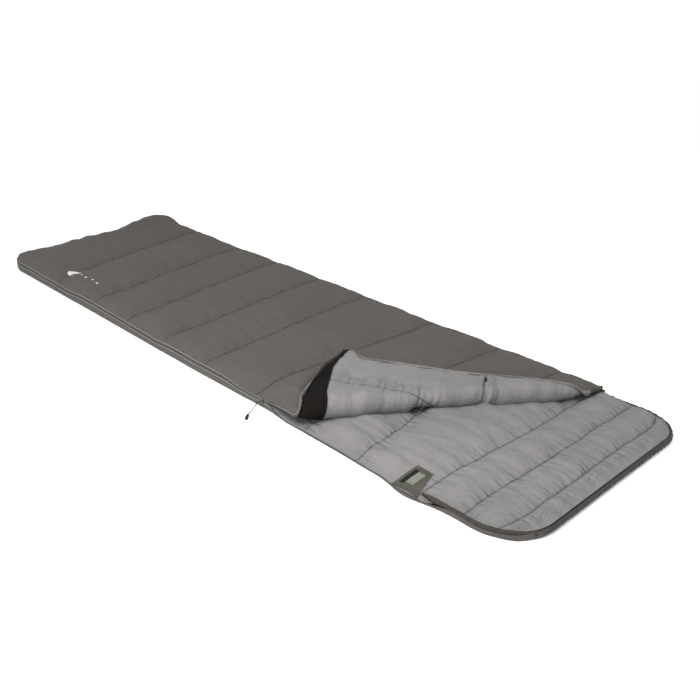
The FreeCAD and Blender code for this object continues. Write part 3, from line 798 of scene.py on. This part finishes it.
def wander(co, amount):
    """Lets the cross seams wander a little, as quilting does."""
    x, y = co[:, 0], co[:, 1]
    slow = ripple2(x * 0.5, y, 5.5, 6.6) + 0.4 * ripple2(x * 0.5, y, 14, 2.2)
    ends = smooth((x - FOOT) / 0.10) * smooth((HEAD - 0.03 - x) / 0.05)
    co[:, 0] += amount * slow * smooth((SIDE - np.abs(y)) / 0.05) * ends


def slant(x, y):
    """How far the cover's cross seams have slipped towards the foot on the far side."""
    return 0.13 * smooth((0.50 - x) / 0.40) * smooth((x - FOOT) / 0.30) * (y + SIDE) / (2 * SIDE)


def inside_cover(x, y):
    """How far in from the cover's two sides and its foot."""
    return np.minimum(np.minimum(y + SIDE, SIDE - y), x - FOOT)


def foot_lump(x, y):
    """The filling that stands up near the far foot corner."""
    away = np.hypot(x - FOOT - 0.06, y - SIDE + 0.13)
    return 0.033 * near(away, 0.15) * brow(inside_cover(x, y), 0.06)


def tug(x, y):
    """The curved pucker that the slider pulls into the cover beside it."""
    away = np.hypot(x - SLIDER_REST - 0.065, y + SIDE - 0.028)
    arc = bell(away, 0.043, 0.008) * smooth((SLIDER_REST + 0.095 - x) / 0.03)
    return 0.0080 * arc - 0.0030 * near(away, 0.03)


def foot_ruffle(x, y):
    """Small waves along the foot edge."""
    waves = 0.0042 * ripple(y, 27, 4.9) + 0.0020 * ripple(y, 61, 9.1)
    waves *= near(x - FOOT, 0.07) * smooth(inside_cover(x, y) / 0.02)
    return waves * smooth((y + SIDE - 0.05) / 0.08)


def shell_height(x, y, puff):
    """Height of the cover's shell: its border, its seams and the filling between them."""
    d = inside_cover(x, y)
    far = smooth((y - 0.20) / 0.17)
    border = COVER_EDGE - 0.0043 * far
    seam_top = 0.0452 - 0.004 * far
    filled = (0.0085 - 0.001 * far) * puff * brow(d, 0.10) + foot_lump(x, y) + tug(x, y)
    return border + (seam_top - border) * brow(d, 0.04) + filled + foot_ruffle(x, y)


def lining_height(x, y, puff):
    """Height of the cover's lining, which hangs down between its seams and rises to the hem."""
    along = between(y, [-SIDE, LENGTHWISE_SEAM, SIDE])
    puff = puff * np.where(x > LINING_SEAMS[-1], 0.35 + 0.65 * along, 1)
    hem_rise = 0.0065 * (1 - brow(COVER_HEAD - x, 0.05))
    return LINING_EDGE + hem_rise - 0.0090 * puff * brow(inside_cover(x, y), 0.06)


def cover_face(name, up):
    """The cover's shell (up) or lining, as it lies when the bag is closed."""
    seams = COVER_SEAMS if up else LINING_SEAMS
    lines = [FOOT] + seams + [COVER_HEAD]
    xs = stops(FOOT, COVER_HEAD, seams, PITCH)
    ys = stops(-SIDE, SIDE, [] if up else [LENGTHWISE_SEAM], PITCH)

    def outline(co):
        wander(co, 0.010)
        if up:
            co[:, 0] -= slant(co[:, 0], co[:, 1])
        round_end(co, FOOT, SIDE, 1, FOOT_RADIUS)
        round_corner(co, (COVER_HEAD, -SIDE), (-1, 1), FLAP_RADIUS)
        scallop = 0.0035 * (1 - between(co[:, 0], lines))
        co[:, 1] -= scallop * near(SIDE - co[:, 1], 0.03)

    def height(x, y):
        puff = between(x, lines)
        return shell_height(x, y, puff) if up else lining_height(x, y, puff)

    def seam_distance(x, y):
        d = off(x, seams)
        if not up:
            footward = np.maximum(LINING_SEAMS[-1] - x, 0)
            d = np.minimum(d, np.abs(y - LENGTHWISE_SEAM) + 10 * footward)
        return d

    def held(x, y):
        border = (inside_cover(x, y) < ON_LINE) | (COVER_HEAD - x < ON_LINE)
        return border | (seam_distance(x, y) < ON_LINE)

    return panel(name, xs, ys, outline, height, seam_distance, held, flip=not up,
                 gathers=0.0048 if up else 0.0066, cap=0.0060 if up else 0.0064)


def split_cover(obj, main_name, corner_name):
    """Cuts a cover face along the line where it starts to bend."""
    corner = copy_of(obj, corner_name)
    cut(corner, (*BEND_START, 0), (*ACROSS, 0))
    cut(obj, (*BEND_START, 0), (*-ACROSS, 0))
    obj.name = main_name
    obj.data.name = main_name
    return obj, corner


def pressed(co, share, clearance):
    """Lowers, by a share, whatever stands above a level just under the top of the CAD's cover."""
    co[:, 2] -= share * np.maximum(co[:, 2] - (COVER_TOP - clearance), 0)
    return co


def bend_flat(co):
    """Presses the cover flat where it starts to bend."""
    across, _ = fold_place(co[:, 0], co[:, 1])
    press = smooth((across + 0.06) / 0.06) * smooth((BEND_LENGTH + 0.03 - across) / 0.03)
    return pressed(co, press, 0.0006)


def press_under(co):
    """Presses the cover down where the turned-back corner lies on it."""
    return pressed(co, 0.9 * flap_cover(co[:, 0], co[:, 1]), 0.0005)


def build_cover():
    shell = cover_face("cover_shell", True)
    reshape(shell, bend_flat, sway_cover)
    shell_tree = BVHTree.FromObject(shell, bpy.context.evaluated_depsgraph_get())
    main, corner = split_cover(shell, "cover_shell", "corner_shell")
    reshape(main, press_under)
    reshape(corner, keep_clear, splay, folded)
    dress(main, SHELL, "root")
    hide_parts("top_shell", "top_insulation")
    corner_piece(corner, SHELL)
    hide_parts("flap_shell", "fold_shell", "flap_insulation", "fold_insulation")

    lining = cover_face("cover_lining", False)
    reshape(lining, sway_cover)
    lining_tree = BVHTree.FromObject(lining, bpy.context.evaluated_depsgraph_get())
    main, corner = split_cover(lining, "cover_lining", "corner_lining")
    reshape(corner, folded)
    dress(main, LINING, "root")
    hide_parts("top_lining")
    corner_piece(corner, LINING)
    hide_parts("flap_lining", "fold_lining")
    return shell_tree, lining_tree


def keep_clear(co):
    """Keeps the corner's shell off the cover that it is turned back onto."""
    across, _ = fold_place(co[:, 0], co[:, 1])
    past = smooth((across - BEND_LENGTH * 0.7) / (BEND_LENGTH * 0.3))
    return pressed(co, past, 0.0008)


def inside_base(x, y):
    """How far in from the edges of the base and its hood."""
    sides = np.minimum(y + SIDE, SIDE - y)
    return np.minimum(sides, np.minimum(x - FOOT, HOOD_HEAD - x))


def on_patch(x, y):
    """1 where the patch is sewn on, falling to 0 round it."""
    low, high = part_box("label_patch")
    dx = np.maximum(np.maximum(low.x - (x - PATCH_SHIFT[0]), x - PATCH_SHIFT[0] - high.x), 0)
    dy = np.maximum(np.maximum(low.y - (y - PATCH_SHIFT[1]), y - PATCH_SHIFT[1] - high.y), 0)
    return near(np.hypot(dx, dy), 0.02)


def base_height(x, y):
    """Height of the base's lining: stuffed channels, one long crease, and flat under the patch."""
    d = inside_base(x, y)
    hood = smooth((x - BASE_HEAD) / 0.02)
    puff = between(x, [FOOT] + BASE_SEAMS + [HOOD_HEAD]) * brow(d, 0.07)
    top = 0.0165 + (0.0100 + 0.0005 * hood) * puff
    border = BASE_EDGE - 0.0025 * hood
    z = border + (top - border) * brow(d, 0.02)
    crease_y = -0.310 + 0.13 * (x - 0.60)
    length = smooth((x - 0.57) / 0.04) * smooth((0.93 - x) / 0.04)
    z -= 0.0045 * length * bell(y, crease_y, 0.009) * puff
    patch = on_patch(x, y)
    return z * (1 - patch) + (BASE_TOP - 0.0010) * patch


def build_base_lining():
    """The bottom quilt's lining and the hood's, in one face with the hood's seam across it."""
    hidden_end = BASE_SEAMS[8]
    coarse = stops(FOOT, hidden_end, BASE_SEAMS, 0.03)
    fine = stops(hidden_end, HOOD_HEAD, BASE_SEAMS, PITCH)
    xs = np.concatenate([coarse[:-1], fine])
    ys = stops(-SIDE, SIDE, [], PITCH)

    def outline(co):
        wander(co, 0.009)
        seen = smooth((0.83 - co[:, 0]) / 0.12) * smooth((co[:, 0] - 0.35) / 0.2)
        co[:, 0] -= 0.075 * seen * smooth((co[:, 1] + SIDE) / 0.5)
        co[:, 1] *= 1 - (1 - HOOD_SIDE / SIDE) * smooth((co[:, 0] - BASE_HEAD + 0.01) / 0.02)
        round_end(co, FOOT, SIDE, 1, FOOT_RADIUS)
        round_end(co, HOOD_HEAD, HOOD_SIDE, -1, HOOD_RADIUS)

    def seam_distance(x, y):
        return off(x, BASE_SEAMS)

    def held(x, y):
        return (inside_base(x, y) < ON_LINE) | (seam_distance(x, y) < ON_LINE) | (on_patch(x, y) > 0.9)

    lining = panel("base_lining", xs, ys, outline, base_height, seam_distance, held, flip=False,
                   gathers=0.0095, cap=0.0085)
    reshape(lining, sway_base)
    dress(lining, LINING, "root")
    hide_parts("bottom_lining", "hood_lining", "bottom_insulation", "hood_insulation")
    return BVHTree.FromObject(lining, bpy.context.evaluated_depsgraph_get())


# How the underside's edge rolls up: for each distance in from the edge, how far in and how high it lies.
EDGE_ROWS = np.array([0, 0.002, 0.004, 0.007, 0.011, 0.018, 0.030, 0.060])
EDGE_INWARD = np.array([0, -0.0014, -0.0020, -0.0010, 0.0022, 0.0085, 0.025, 0.060])
EDGE_RISE = np.array([0.0195, 0.0140, 0.0088, 0.0042, 0.0014, 0.0005, 0.0003, 0.0003])
EDGE_BAND = 0.075


def rolled_grid(low, high, lines, pitch):
    """Grid coordinates that are close together where the edge rolls up."""
    middle = stops(low + EDGE_BAND, high - EDGE_BAND, lines, pitch)
    return np.concatenate([low + EDGE_ROWS, middle, high - EDGE_ROWS[::-1]])


def rolled(a, low, high):
    """Where grid coordinates lie once the edge has rolled up."""
    inner = np.minimum(a - low, high - a)
    step = np.where(inner < EDGE_ROWS[-1], np.interp(inner, EDGE_ROWS, EDGE_INWARD), inner)
    return np.where(a - low < high - a, low + step, high - step)


def build_base_shell():
    """The underside and the low side of the bottom quilt and hood."""
    top = HOOD_HEAD + 0.006
    xs = rolled_grid(FOOT, top, BASE_SEAMS, 0.012)
    ys = rolled_grid(-SIDE, SIDE, [], 0.016)
    gx, gy = np.meshgrid(xs, ys, indexing="ij")
    x, y = gx.ravel(), gy.ravel()
    d = np.minimum(np.minimum(x - FOOT, top - x), np.minimum(y + SIDE, SIDE - y))
    height = np.interp(d, EDGE_ROWS, EDGE_RISE)
    co = np.column_stack([rolled(x, FOOT, top), rolled(y, -SIDE, SIDE), height])
    round_end(co, FOOT - 0.002, SIDE + 0.002, 1, FOOT_RADIUS)
    round_end(co, top + 0.002, SIDE + 0.002, -1, RIM_RADIUS)
    seam = off(x, BASE_SEAMS)
    co[:, 2] += 0.0016 * near(seam, 0.010) * smooth(d / 0.05)
    co = sway_base(co)
    co[:, 2] = np.maximum(co[:, 2], 0.0002)
    shell = make("base_shell", co, lattice(len(xs), len(ys), True))
    note(shell, "flat", np.column_stack([x, y, np.zeros(len(x))]))
    note(shell, "seam", seam + 0.01 * (d < 0.012))
    subdivide(shell)
    dress(shell, SHELL, "root")
    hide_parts("bottom_shell", "hood_shell")


# ---- the border: zip, side, rim and hem
def border_point(run):
    """(x, y, outward x, outward y) a run from the head end of the zipped border."""
    if run <= STRAIGHT_RUN:
        return COVER_HEAD - run, -SIDE, 0.0, -1.0
    if run <= STRAIGHT_RUN + ARC_RUN:
        a = (run - STRAIGHT_RUN) / FOOT_RADIUS
        ox, oy = -math.sin(a), -math.cos(a)
        return ARC_X + FOOT_RADIUS * ox, ARC_Y + FOOT_RADIUS * oy, ox, oy
    return FOOT, ARC_Y + run - STRAIGHT_RUN - ARC_RUN, -1.0, 0.0


def border_sweep(name, runs, profile):
    """A strip that follows the zipped border, with (outward, height) points round its section."""
    co, flat = [], []
    for run in runs:
        x, y, ox, oy = border_point(run)
        co += [(x + ox * out, y + oy * out, z) for out, z in profile]
        flat += [(run, z, 0) for _, z in profile]
    return skin(name, co, flat, len(profile))


def roundish(out, z0, z1, thick):
    """A soft section of eight points, thick outwards from out, between two heights."""
    half, tall, middle = thick / 2, (z1 - z0) / 2, (z0 + z1) / 2
    turns = [math.tau * k / 8 for k in range(8)]
    return [(out + half - half * math.cos(a), middle - tall * math.sin(a)) for a in turns]


TOOTH = 0.0026
TOOTH_RING = [(0.0, 0.28), (0.22, 0.42), (0.8, 0.36), (1.0, 0.0), (0.8, -0.36), (0.22, -0.42), (0.0, -0.28)]
TIP_RUN = 0.031


def tooth(run, z_root, z_tip):
    """One rounded loop: three rings of points, the outermost smaller."""
    x, y, ox, oy = border_point(run)
    co = []
    for out, swell, skip, part in ((0.0002, 1.0, 0, 1), (0.0013, 1.0, 0, 1), (0.0021, 0.62, 0.15, 0.7)):
        for share, width in TOOTH_RING:
            w = width * TOOTH * 1.15 * swell
            z = z_root + (z_tip - z_root) * (skip + part * share)
            co.append((x + ox * out - oy * w, y + oy * out + ox * w, z))
    return co


def teeth(name, first, last, z_root, z_tip, phase):
    """One side of the coil: a row of small rounded loops from its tape's edge."""
    m = len(TOOTH_RING)
    co, faces, flat = [], [], []
    for i in range(int((last - first) / TOOTH)):
        run = first + (i + phase) * TOOTH
        base = len(co)
        loop = tooth(run, z_root, z_tip)
        co += loop
        flat += [(run, z, 0) for _, _, z in loop]
        for a in range(base, base + 2 * m, m):
            faces += [(a + k, a + (k + 1) % m, a + (k + 1) % m + m, a + k + m) for k in range(m)]
        faces.append(tuple(base + 2 * m + k for k in range(m)))
    obj = make(name, np.array(co), faces)
    note(obj, "flat", np.array(flat))
    return obj


def build_zip():
    tape_out = -0.0004
    fold_run = COVER_HEAD - FOLD_X

    def on_base(obj, material, node):
        reshape(obj, sway_base)
        dress(obj, material, "root")
        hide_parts(node)

    def on_cover(obj, material, node):
        reshape(obj, sway_cover)
        dress(obj, material, "root")
        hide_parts(node)

    def on_corner(obj, slot, material, *nodes):
        reshape(obj, sway_cover, splay, folded)
        corner_piece(obj, material)
        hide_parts(*nodes)

    def strip(name, first, section, pitch=0.008, last=ZIP_RUN):
        runs = np.arange(first, last + pitch / 2, pitch)
        runs[-1] = last
        return border_sweep(name, runs, section)

    tape = roundish(tape_out, 0.0150, 0.0232, 0.0012)
    pipe = roundish(0.0, BASE_EDGE - 0.0026, BASE_EDGE + 0.0004, 0.0030)
    on_base(strip("base_tape", 0.0, tape), TAPE, "lower_zip_tape")
    piping = strip("base_piping", 0.0, pipe)
    reshape(piping, tuck)
    on_base(piping, PIPING, "lower_piping")
    tape = roundish(tape_out, 0.0268, COVER_EDGE + 0.0003, 0.0012)
    pipe = roundish(0.0, COVER_EDGE - 0.0028, COVER_EDGE + 0.0004, 0.0030)
    on_cover(strip("cover_tape", fold_run, tape), TAPE, "upper_zip_tape")
    on_cover(strip("cover_piping", fold_run, pipe), PIPING, "upper_piping")
    free = strip("corner_tape", TIP_RUN, tape, 0.004, fold_run)
    on_corner(free, "zip_tape", TAPE, "flap_zip_tape", "fold_zip_tape")
    free = strip("corner_piping", TIP_RUN, pipe, 0.004, fold_run)
    on_corner(free, "piping_fabric", PIPING, "flap_piping", "fold_piping")
    low = teeth("base_coil", 0.008, ZIP_RUN - 0.004, 0.0216, 0.0256, 0.0)
    on_base(low, COIL, "lower_zip_coil")
    high = teeth("cover_coil", fold_run, ZIP_RUN - 0.004, 0.0284, 0.0244, 0.5)
    on_cover(high, COIL, "upper_zip_coil")
    free = teeth("corner_coil", TIP_RUN + 0.004, fold_run, 0.0284, 0.0244, 0.5)
    on_corner(free, "zip_coil", COIL, "flap_zip_coil", "fold_zip_coil")


def tuck(co):
    """The base's piping turns in under the lining where the edge sinks."""
    co[:, 1] += 0.010 * sag(co[:, 0])
    co[:, 2] -= 0.005 * sag(co[:, 0])
    return co


def clamp(name, middle, size):
    """A small cast block with soft edges, crimped over the coil."""
    bm = bmesh.new()
    bmesh.ops.create_cube(bm, size=1)
    for v in bm.verts:
        v.co = Vector([middle[i] + v.co[i] * size[i] for i in range(3)])
    rounding = min(size) * 0.28
    bmesh.ops.bevel(bm, geom=bm.edges[:], offset=rounding, segments=3, affect="EDGES", profile=0.5)
    for face in bm.faces:
        face.smooth = True
    return from_bmesh(name, bm)


def build_stops():
    """The zip's three stops, on the edges that they clamp."""
    side = -SIDE - 0.0013
    size = (0.0050, 0.0032, 0.0040)
    lower = clamp("lower_stop", (COVER_HEAD - 0.0035, side, 0.0230), size)
    reshape(lower, sway_base)
    dress(lower, METAL, "root")
    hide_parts("lower_top_stop")
    upper = clamp("corner_stop", (COVER_HEAD - TIP_RUN + 0.001, side, 0.0270), size)
    reshape(upper, sway_cover, splay, folded)
    corner_piece(upper, METAL)
    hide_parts("flap_top_stop")
    foot = clamp("foot_stop", (FOOT - 0.0013, ZIP_FOOT_END - 0.005, ZIP_MIDDLE), (0.0032, 0.010, 0.0092))
    reshape(foot, sway_base)
    dress(foot, METAL, "root")
    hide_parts("zip_bottom_stop")


def outline_points(path, pitch):
    """(x, y, outward x, outward y) along straight runs, given by two points, and arcs (x, y, r, a0, a1)."""
    out = []
    for item in path:
        if len(item) == 2:
            (x0, y0), (x1, y1) = item
            length = math.hypot(x1 - x0, y1 - y0)
            normal = ((y1 - y0) / length, -(x1 - x0) / length)
            n = max(1, round(length / pitch))
            out += [(x0 + (x1 - x0) * k / n, y0 + (y1 - y0) * k / n, *normal) for k in range(n)]
        else:
            cx, cy, r, a0, a1 = item
            n = max(2, round(abs(a1 - a0) * r / pitch))
            for a in [a0 + (a1 - a0) * k / n for k in range(n)]:
                out.append((cx + r * math.cos(a), cy + r * math.sin(a), math.cos(a), math.sin(a)))
    return out


def outward(x, y, nx, ny):
    """The side's own outward way at a point of its outline."""
    if x <= FOOT + 1e-4:
        return -1.0, 0.0
    if abs(ny) >= 0.999 and y >= 0:
        return 0.0, 1.0
    return (-nx, -ny) if ny < 0 else (nx, ny)


def build_side():
    """The far side and the unzipped foot end: one shell from the cover round to the underside."""
    pitch = 0.008
    path = [((COVER_HEAD + 0.012, SIDE), (ARC_X, SIDE)),
            (ARC_X, -ARC_Y, FOOT_RADIUS, math.pi / 2, math.pi),
            ((FOOT, -ARC_Y), (FOOT, ZIP_FOOT_END - 0.004))]
    section = [(t, 0.0110 + (0.0300 - 0.0110) * t) for t in np.linspace(0, 1, 10)]
    seams = np.array(COVER_SEAMS)
    lines = [FOOT] + list(seams - slant(seams, SIDE)) + [COVER_HEAD]
    co, flat = [], []
    for i, (x, y, nx, ny) in enumerate(outline_points(path, pitch)):
        nx, ny = outward(x, y, nx, ny)
        quilted = y > -ARC_Y
        along = between(np.array([x]), lines)[0] if quilted else 0.7
        wave = noise.noise(Vector((x * 9, y * 9, 4.4)))
        for t, z in section:
            bulge = (0.0034 * math.sin(math.pi * t) ** 0.7) * (0.35 + 0.65 * along)
            pull = 0.0035 * (1 - along) * t * quilted
            out = bulge - 0.0016 * bell(t, 0.42, 0.10) - pull + 0.0010 * wave
            co.append((x + nx * out, y + ny * out, z + 0.0008 * wave * t))
            flat.append((i * pitch, z, 0))
    side = skin("side_shell", askew(np.array(co)), flat, len(section), closed=False)
    note(side, "seam", np.full(len(co), CLEAR_OF_SEAM))
    subdivide(side)
    dress(side, SHELL, "root")
    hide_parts("far_side_shell")


def bunched(run, a, y):
    """How thick the gathered tube is, round its section and along its run, about 1."""
    far = 1.0 if y > 0 else 0.45
    phase = 2.2 * math.sin(a) * far + 1.5 * noise.noise(Vector((run * 9, 0, 0)))
    gather = math.sin(run * 620 + phase) * (0.5 + 0.5 * noise.noise(Vector((run * 40, math.cos(a), 2))))
    lump = noise.noise(Vector((run * 26, 1.2 * math.cos(a), 1.2 * math.sin(a))))
    twist = math.sin(run * 300 + a) * (0.16 if y > 0.1 else 0.05)
    return (1 + 0.07 * gather + 0.16 * lump + twist) * (1 + 0.28 * smooth(y / 0.3))


def build_rim():
    """The hood's gathered edge: a soft dark tube with the cloth bunched along its cord."""
    pitch = 0.0032
    around = 16
    side = SIDE - 0.0047
    head = HEAD - 0.0052
    start = BASE_HEAD - 0.030
    arc_x, arc_y = head - RIM_RADIUS, side - RIM_RADIUS
    path = [((start, -side), (arc_x, -side)), (arc_x, -arc_y, RIM_RADIUS, -math.pi / 2, 0.0),
            ((head, -arc_y), (head, arc_y)), (arc_x, arc_y, RIM_RADIUS, 0.0, math.pi / 2),
            ((arc_x, side), (start, side))]
    spots = outline_points(path, pitch)
    co, flat = [], []
    for i, (x, y, nx, ny) in enumerate(spots):
        run = i * pitch
        end = min(1.0, 0.35 + min(i, len(spots) - i) / 14)
        for a in [math.tau * k / around for k in range(around)]:
            size = bunched(run, a, y) * end
            out = 0.0048 * size * math.cos(a)
            z = 0.0120 + 0.0072 * size * math.sin(a)
            co.append((x + nx * out, y + ny * out, max(z, 0.0006)))
            flat.append((run, a * 0.006, 0))
    rim = skin("hood_gather", co, flat, around, flip=True)
    dress(rim, RIM, "root")
    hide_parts("hood_rim")


def build_hem():
    """The bound head edge of the cover, closing the quilt between its shell and lining."""
    pitch = 0.004
    around = 12
    corner_y = -SIDE + FLAP_RADIUS
    path = [((COVER_HEAD, SIDE - 0.001), (COVER_HEAD, corner_y)),
            (COVER_HEAD - FLAP_RADIUS, corner_y, FLAP_RADIUS, 0.0, -math.pi / 2)]
    co, flat = [], []
    for i, (x, y, nx, ny) in enumerate(outline_points(path, pitch)):
        run = i * pitch
        nx, ny = (1.0, 0.0) if y > corner_y else (nx, ny)
        drop = 0.0080 * smooth((y - SIDE + 0.06) / 0.05)
        bunch = 0.5 * bell(y, SIDE - 0.016, 0.020)
        for a in [math.tau * k / around for k in range(around)]:
            lump = 0.004 * (bunch + 0.1)
            out = 0.0030 * math.cos(a) + lump * noise.noise(Vector((run * 60, a, 3)))
            out = out * (1 + bunch) - 0.0010
            z = 0.03925 - drop + (0.0082 - 0.3 * drop) * (1 + bunch) * math.sin(a)
            z += lump * noise.noise(Vector((run * 60, a, 0)))
            co.append((x + nx * out, y + ny * out, z))
            flat.append((run, 0.008 * a, 0))
    hem = skin("cover_hem", co, flat, around)
    note(hem, "seam", np.full(len(co), CLEAR_OF_SEAM))
    main, corner = split_cover(hem, "cover_hem", "corner_hem")
    reshape(corner, sway_cover, splay, folded)
    dress(main, SHELL, "root")
    corner_piece(corner, LINING)


def drop_on(tree, x, y, up):
    """Height of a face at a point, seen from above or below, or of its nearest edge beyond it."""
    start = Vector((x, y, 0.2 if up else -0.2))
    hit = tree.ray_cast(start, Vector((0, 0, -1 if up else 1)))
    if hit[0] is None:
        hit = tree.find_nearest(Vector((x, y, COVER_UNDER)))
    return hit[0].z


def build_facing(lining_tree):
    """The black strip sewn along the zip inside the cover, narrowing towards the corner's tip."""
    xs = np.arange(FOOT + 0.085, COVER_HEAD - 0.016, 0.006)
    rows = 12
    co, flat = [], []
    for x in xs:
        width = 0.055 - 0.045 * smooth((x - FOLD_X) / 0.38)
        corner = max(0.0, x - (COVER_HEAD - FLAP_RADIUS))
        inset = FLAP_RADIUS - math.sqrt(max(FLAP_RADIUS ** 2 - corner ** 2, 0))
        for t in [k / (rows - 1) for k in range(rows)]:
            y = -SIDE + 0.0006 + inset + width * t
            lift = (0.0017 + 0.0012 * (x > FOLD_X)) * min(1.0, t * 6)
            drawn = askew(np.array([[x, y, 0.0]]))[0]
            z = drop_on(lining_tree, drawn[0], y + 0.0005, False)
            co.append((drawn[0], y, z - lift))
            flat.append((x, y, 0))
    obj = make("facing", np.array(co), lattice(len(xs), rows, True))
    note(obj, "flat", np.array(flat))
    main, corner = split_cover(obj, "zip_facing_cloth", "corner_facing")
    reshape(corner, folded)
    dress(main, BLACK, "root")
    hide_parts("zip_facing")
    corner_piece(corner, BLACK)
    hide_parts("flap_facing", "fold_facing")


def build_loop(lining_tree):
    """A small black liner loop on the corner's lining, beside the lengthwise seam."""
    low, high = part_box("liner_loop")
    centre = turned(np.array([(low.x + high.x) / 2]), np.array([(low.y + high.y) / 2]))[0]
    half_long = 0.015
    half_wide = 0.0025
    n, m = 14, 4
    co = []
    for s in np.linspace(-1, 1, n):
        arch = math.sqrt(max(0.0, math.cos(math.pi / 2 * s)))
        for w in np.linspace(-1, 1, m):
            x = centre[0] + half_long * s
            y = centre[1] + half_wide * w
            co.append((x, y, drop_on(lining_tree, x, y, False) - 0.0008 - 0.0024 * arch))
    loop = make("liner_loop_tape", np.array(co), lattice(n, m, True))
    solid = loop.modifiers.new("thick", "SOLIDIFY")
    solid.thickness = 0.0010
    solid.offset = 0
    evaluated(loop)
    reshape(loop, folded)
    dress(loop, TAB_BLACK, "flap")
    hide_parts("liner_loop")


def lay_on(tree, node_name, name, lift, material, shift=(0.0, 0.0)):
    """A thin sewn-on CAD piece, made fine enough to follow the cloth that it lies on."""
    node = bpy.data.objects[node_name]
    top = max(v.co.z for v in node.data.vertices)
    bm = bmesh.new()
    bm.from_mesh(node.data)
    bmesh.ops.remove_doubles(bm, verts=bm.verts[:], dist=1e-5)
    bmesh.ops.triangulate(bm, faces=bm.faces[:])
    for _ in range(6):
        long_edges = [e for e in bm.edges if e.calc_length() > 0.004]
        if long_edges:
            bmesh.ops.subdivide_edges(bm, edges=long_edges, cuts=1)
            bmesh.ops.triangulate(bm, faces=bm.faces[:])
    for v in bm.verts:
        depth = top - v.co.z
        v.co.x += shift[0]
        v.co.y += shift[1]
        v.co.z = drop_on(tree, v.co.x, v.co.y, True) + lift - depth
    obj = dress(from_bmesh(name, bm), material, "root")
    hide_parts(node_name)


def build_sewn_on(shell_tree, base_tree):
    """The stitched sign on the cover and the patch with its two labels on the lining."""
    lay_on(shell_tree, "stitched_motif", "motif_stitching", 0.0011, THREAD)
    lay_on(base_tree, "label_patch", "side_patch", 0.0012, PATCH, PATCH_SHIFT)
    lay_on(base_tree, "black_tab", "woven_tab", 0.0018, TAB_BLACK, PATCH_SHIFT)
    lay_on(base_tree, "care_label", "care_tag", 0.0018, LABEL_PALE, PATCH_SHIFT)


CORD_ROUTE = [(372.8, -408.9, 25.0), (372.6, -414.6, 24.4), (371.8, -420.2, 18.5), (370.4, -426.0, 10.5),
              (369.0, -433.0, 3.6), (371.0, -440.5, 2.0), (376.6, -447.4, 2.9)]


def build_pull():
    """The slider's cord, running to its moulded end."""
    curve = bpy.data.curves.new("pull_cord_line", "CURVE")
    curve.dimensions = "3D"
    curve.bevel_depth = 0.0012
    curve.bevel_resolution = 4
    curve.resolution_u = 12
    curve.use_fill_caps = True
    spline = curve.splines.new("NURBS")
    spline.points.add(len(CORD_ROUTE) - 1)
    for point, (x, y, z) in zip(spline.points, CORD_ROUTE):
        point.co = (x / 1000, y / 1000, z / 1000, 1)
    spline.order_u = 3
    spline.use_endpoint_u = True
    cord = add_object("pull_cord_line", curve)
    dress(cord, CORD, "pull")
    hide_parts("pull_cord")


def dress_nodes():
    """Gives the CAD parts that stay their own finishes."""
    finishes = {"zip_slider": METAL, "slider_bail": METAL, "pull_end": MOULDED}
    for name, material in finishes.items():
        materials = bpy.data.objects[name].data.materials
        materials.clear()
        materials.append(material)


add_camera()
add_studio()
build_pull()
shell_tree, lining_tree = build_cover()
base_tree = build_base_lining()
build_base_shell()
build_side()
build_zip()
build_stops()
build_rim()
build_hem()
build_facing(lining_tree)
build_loop(lining_tree)
build_sewn_on(shell_tree, base_tree)
dress_nodes()
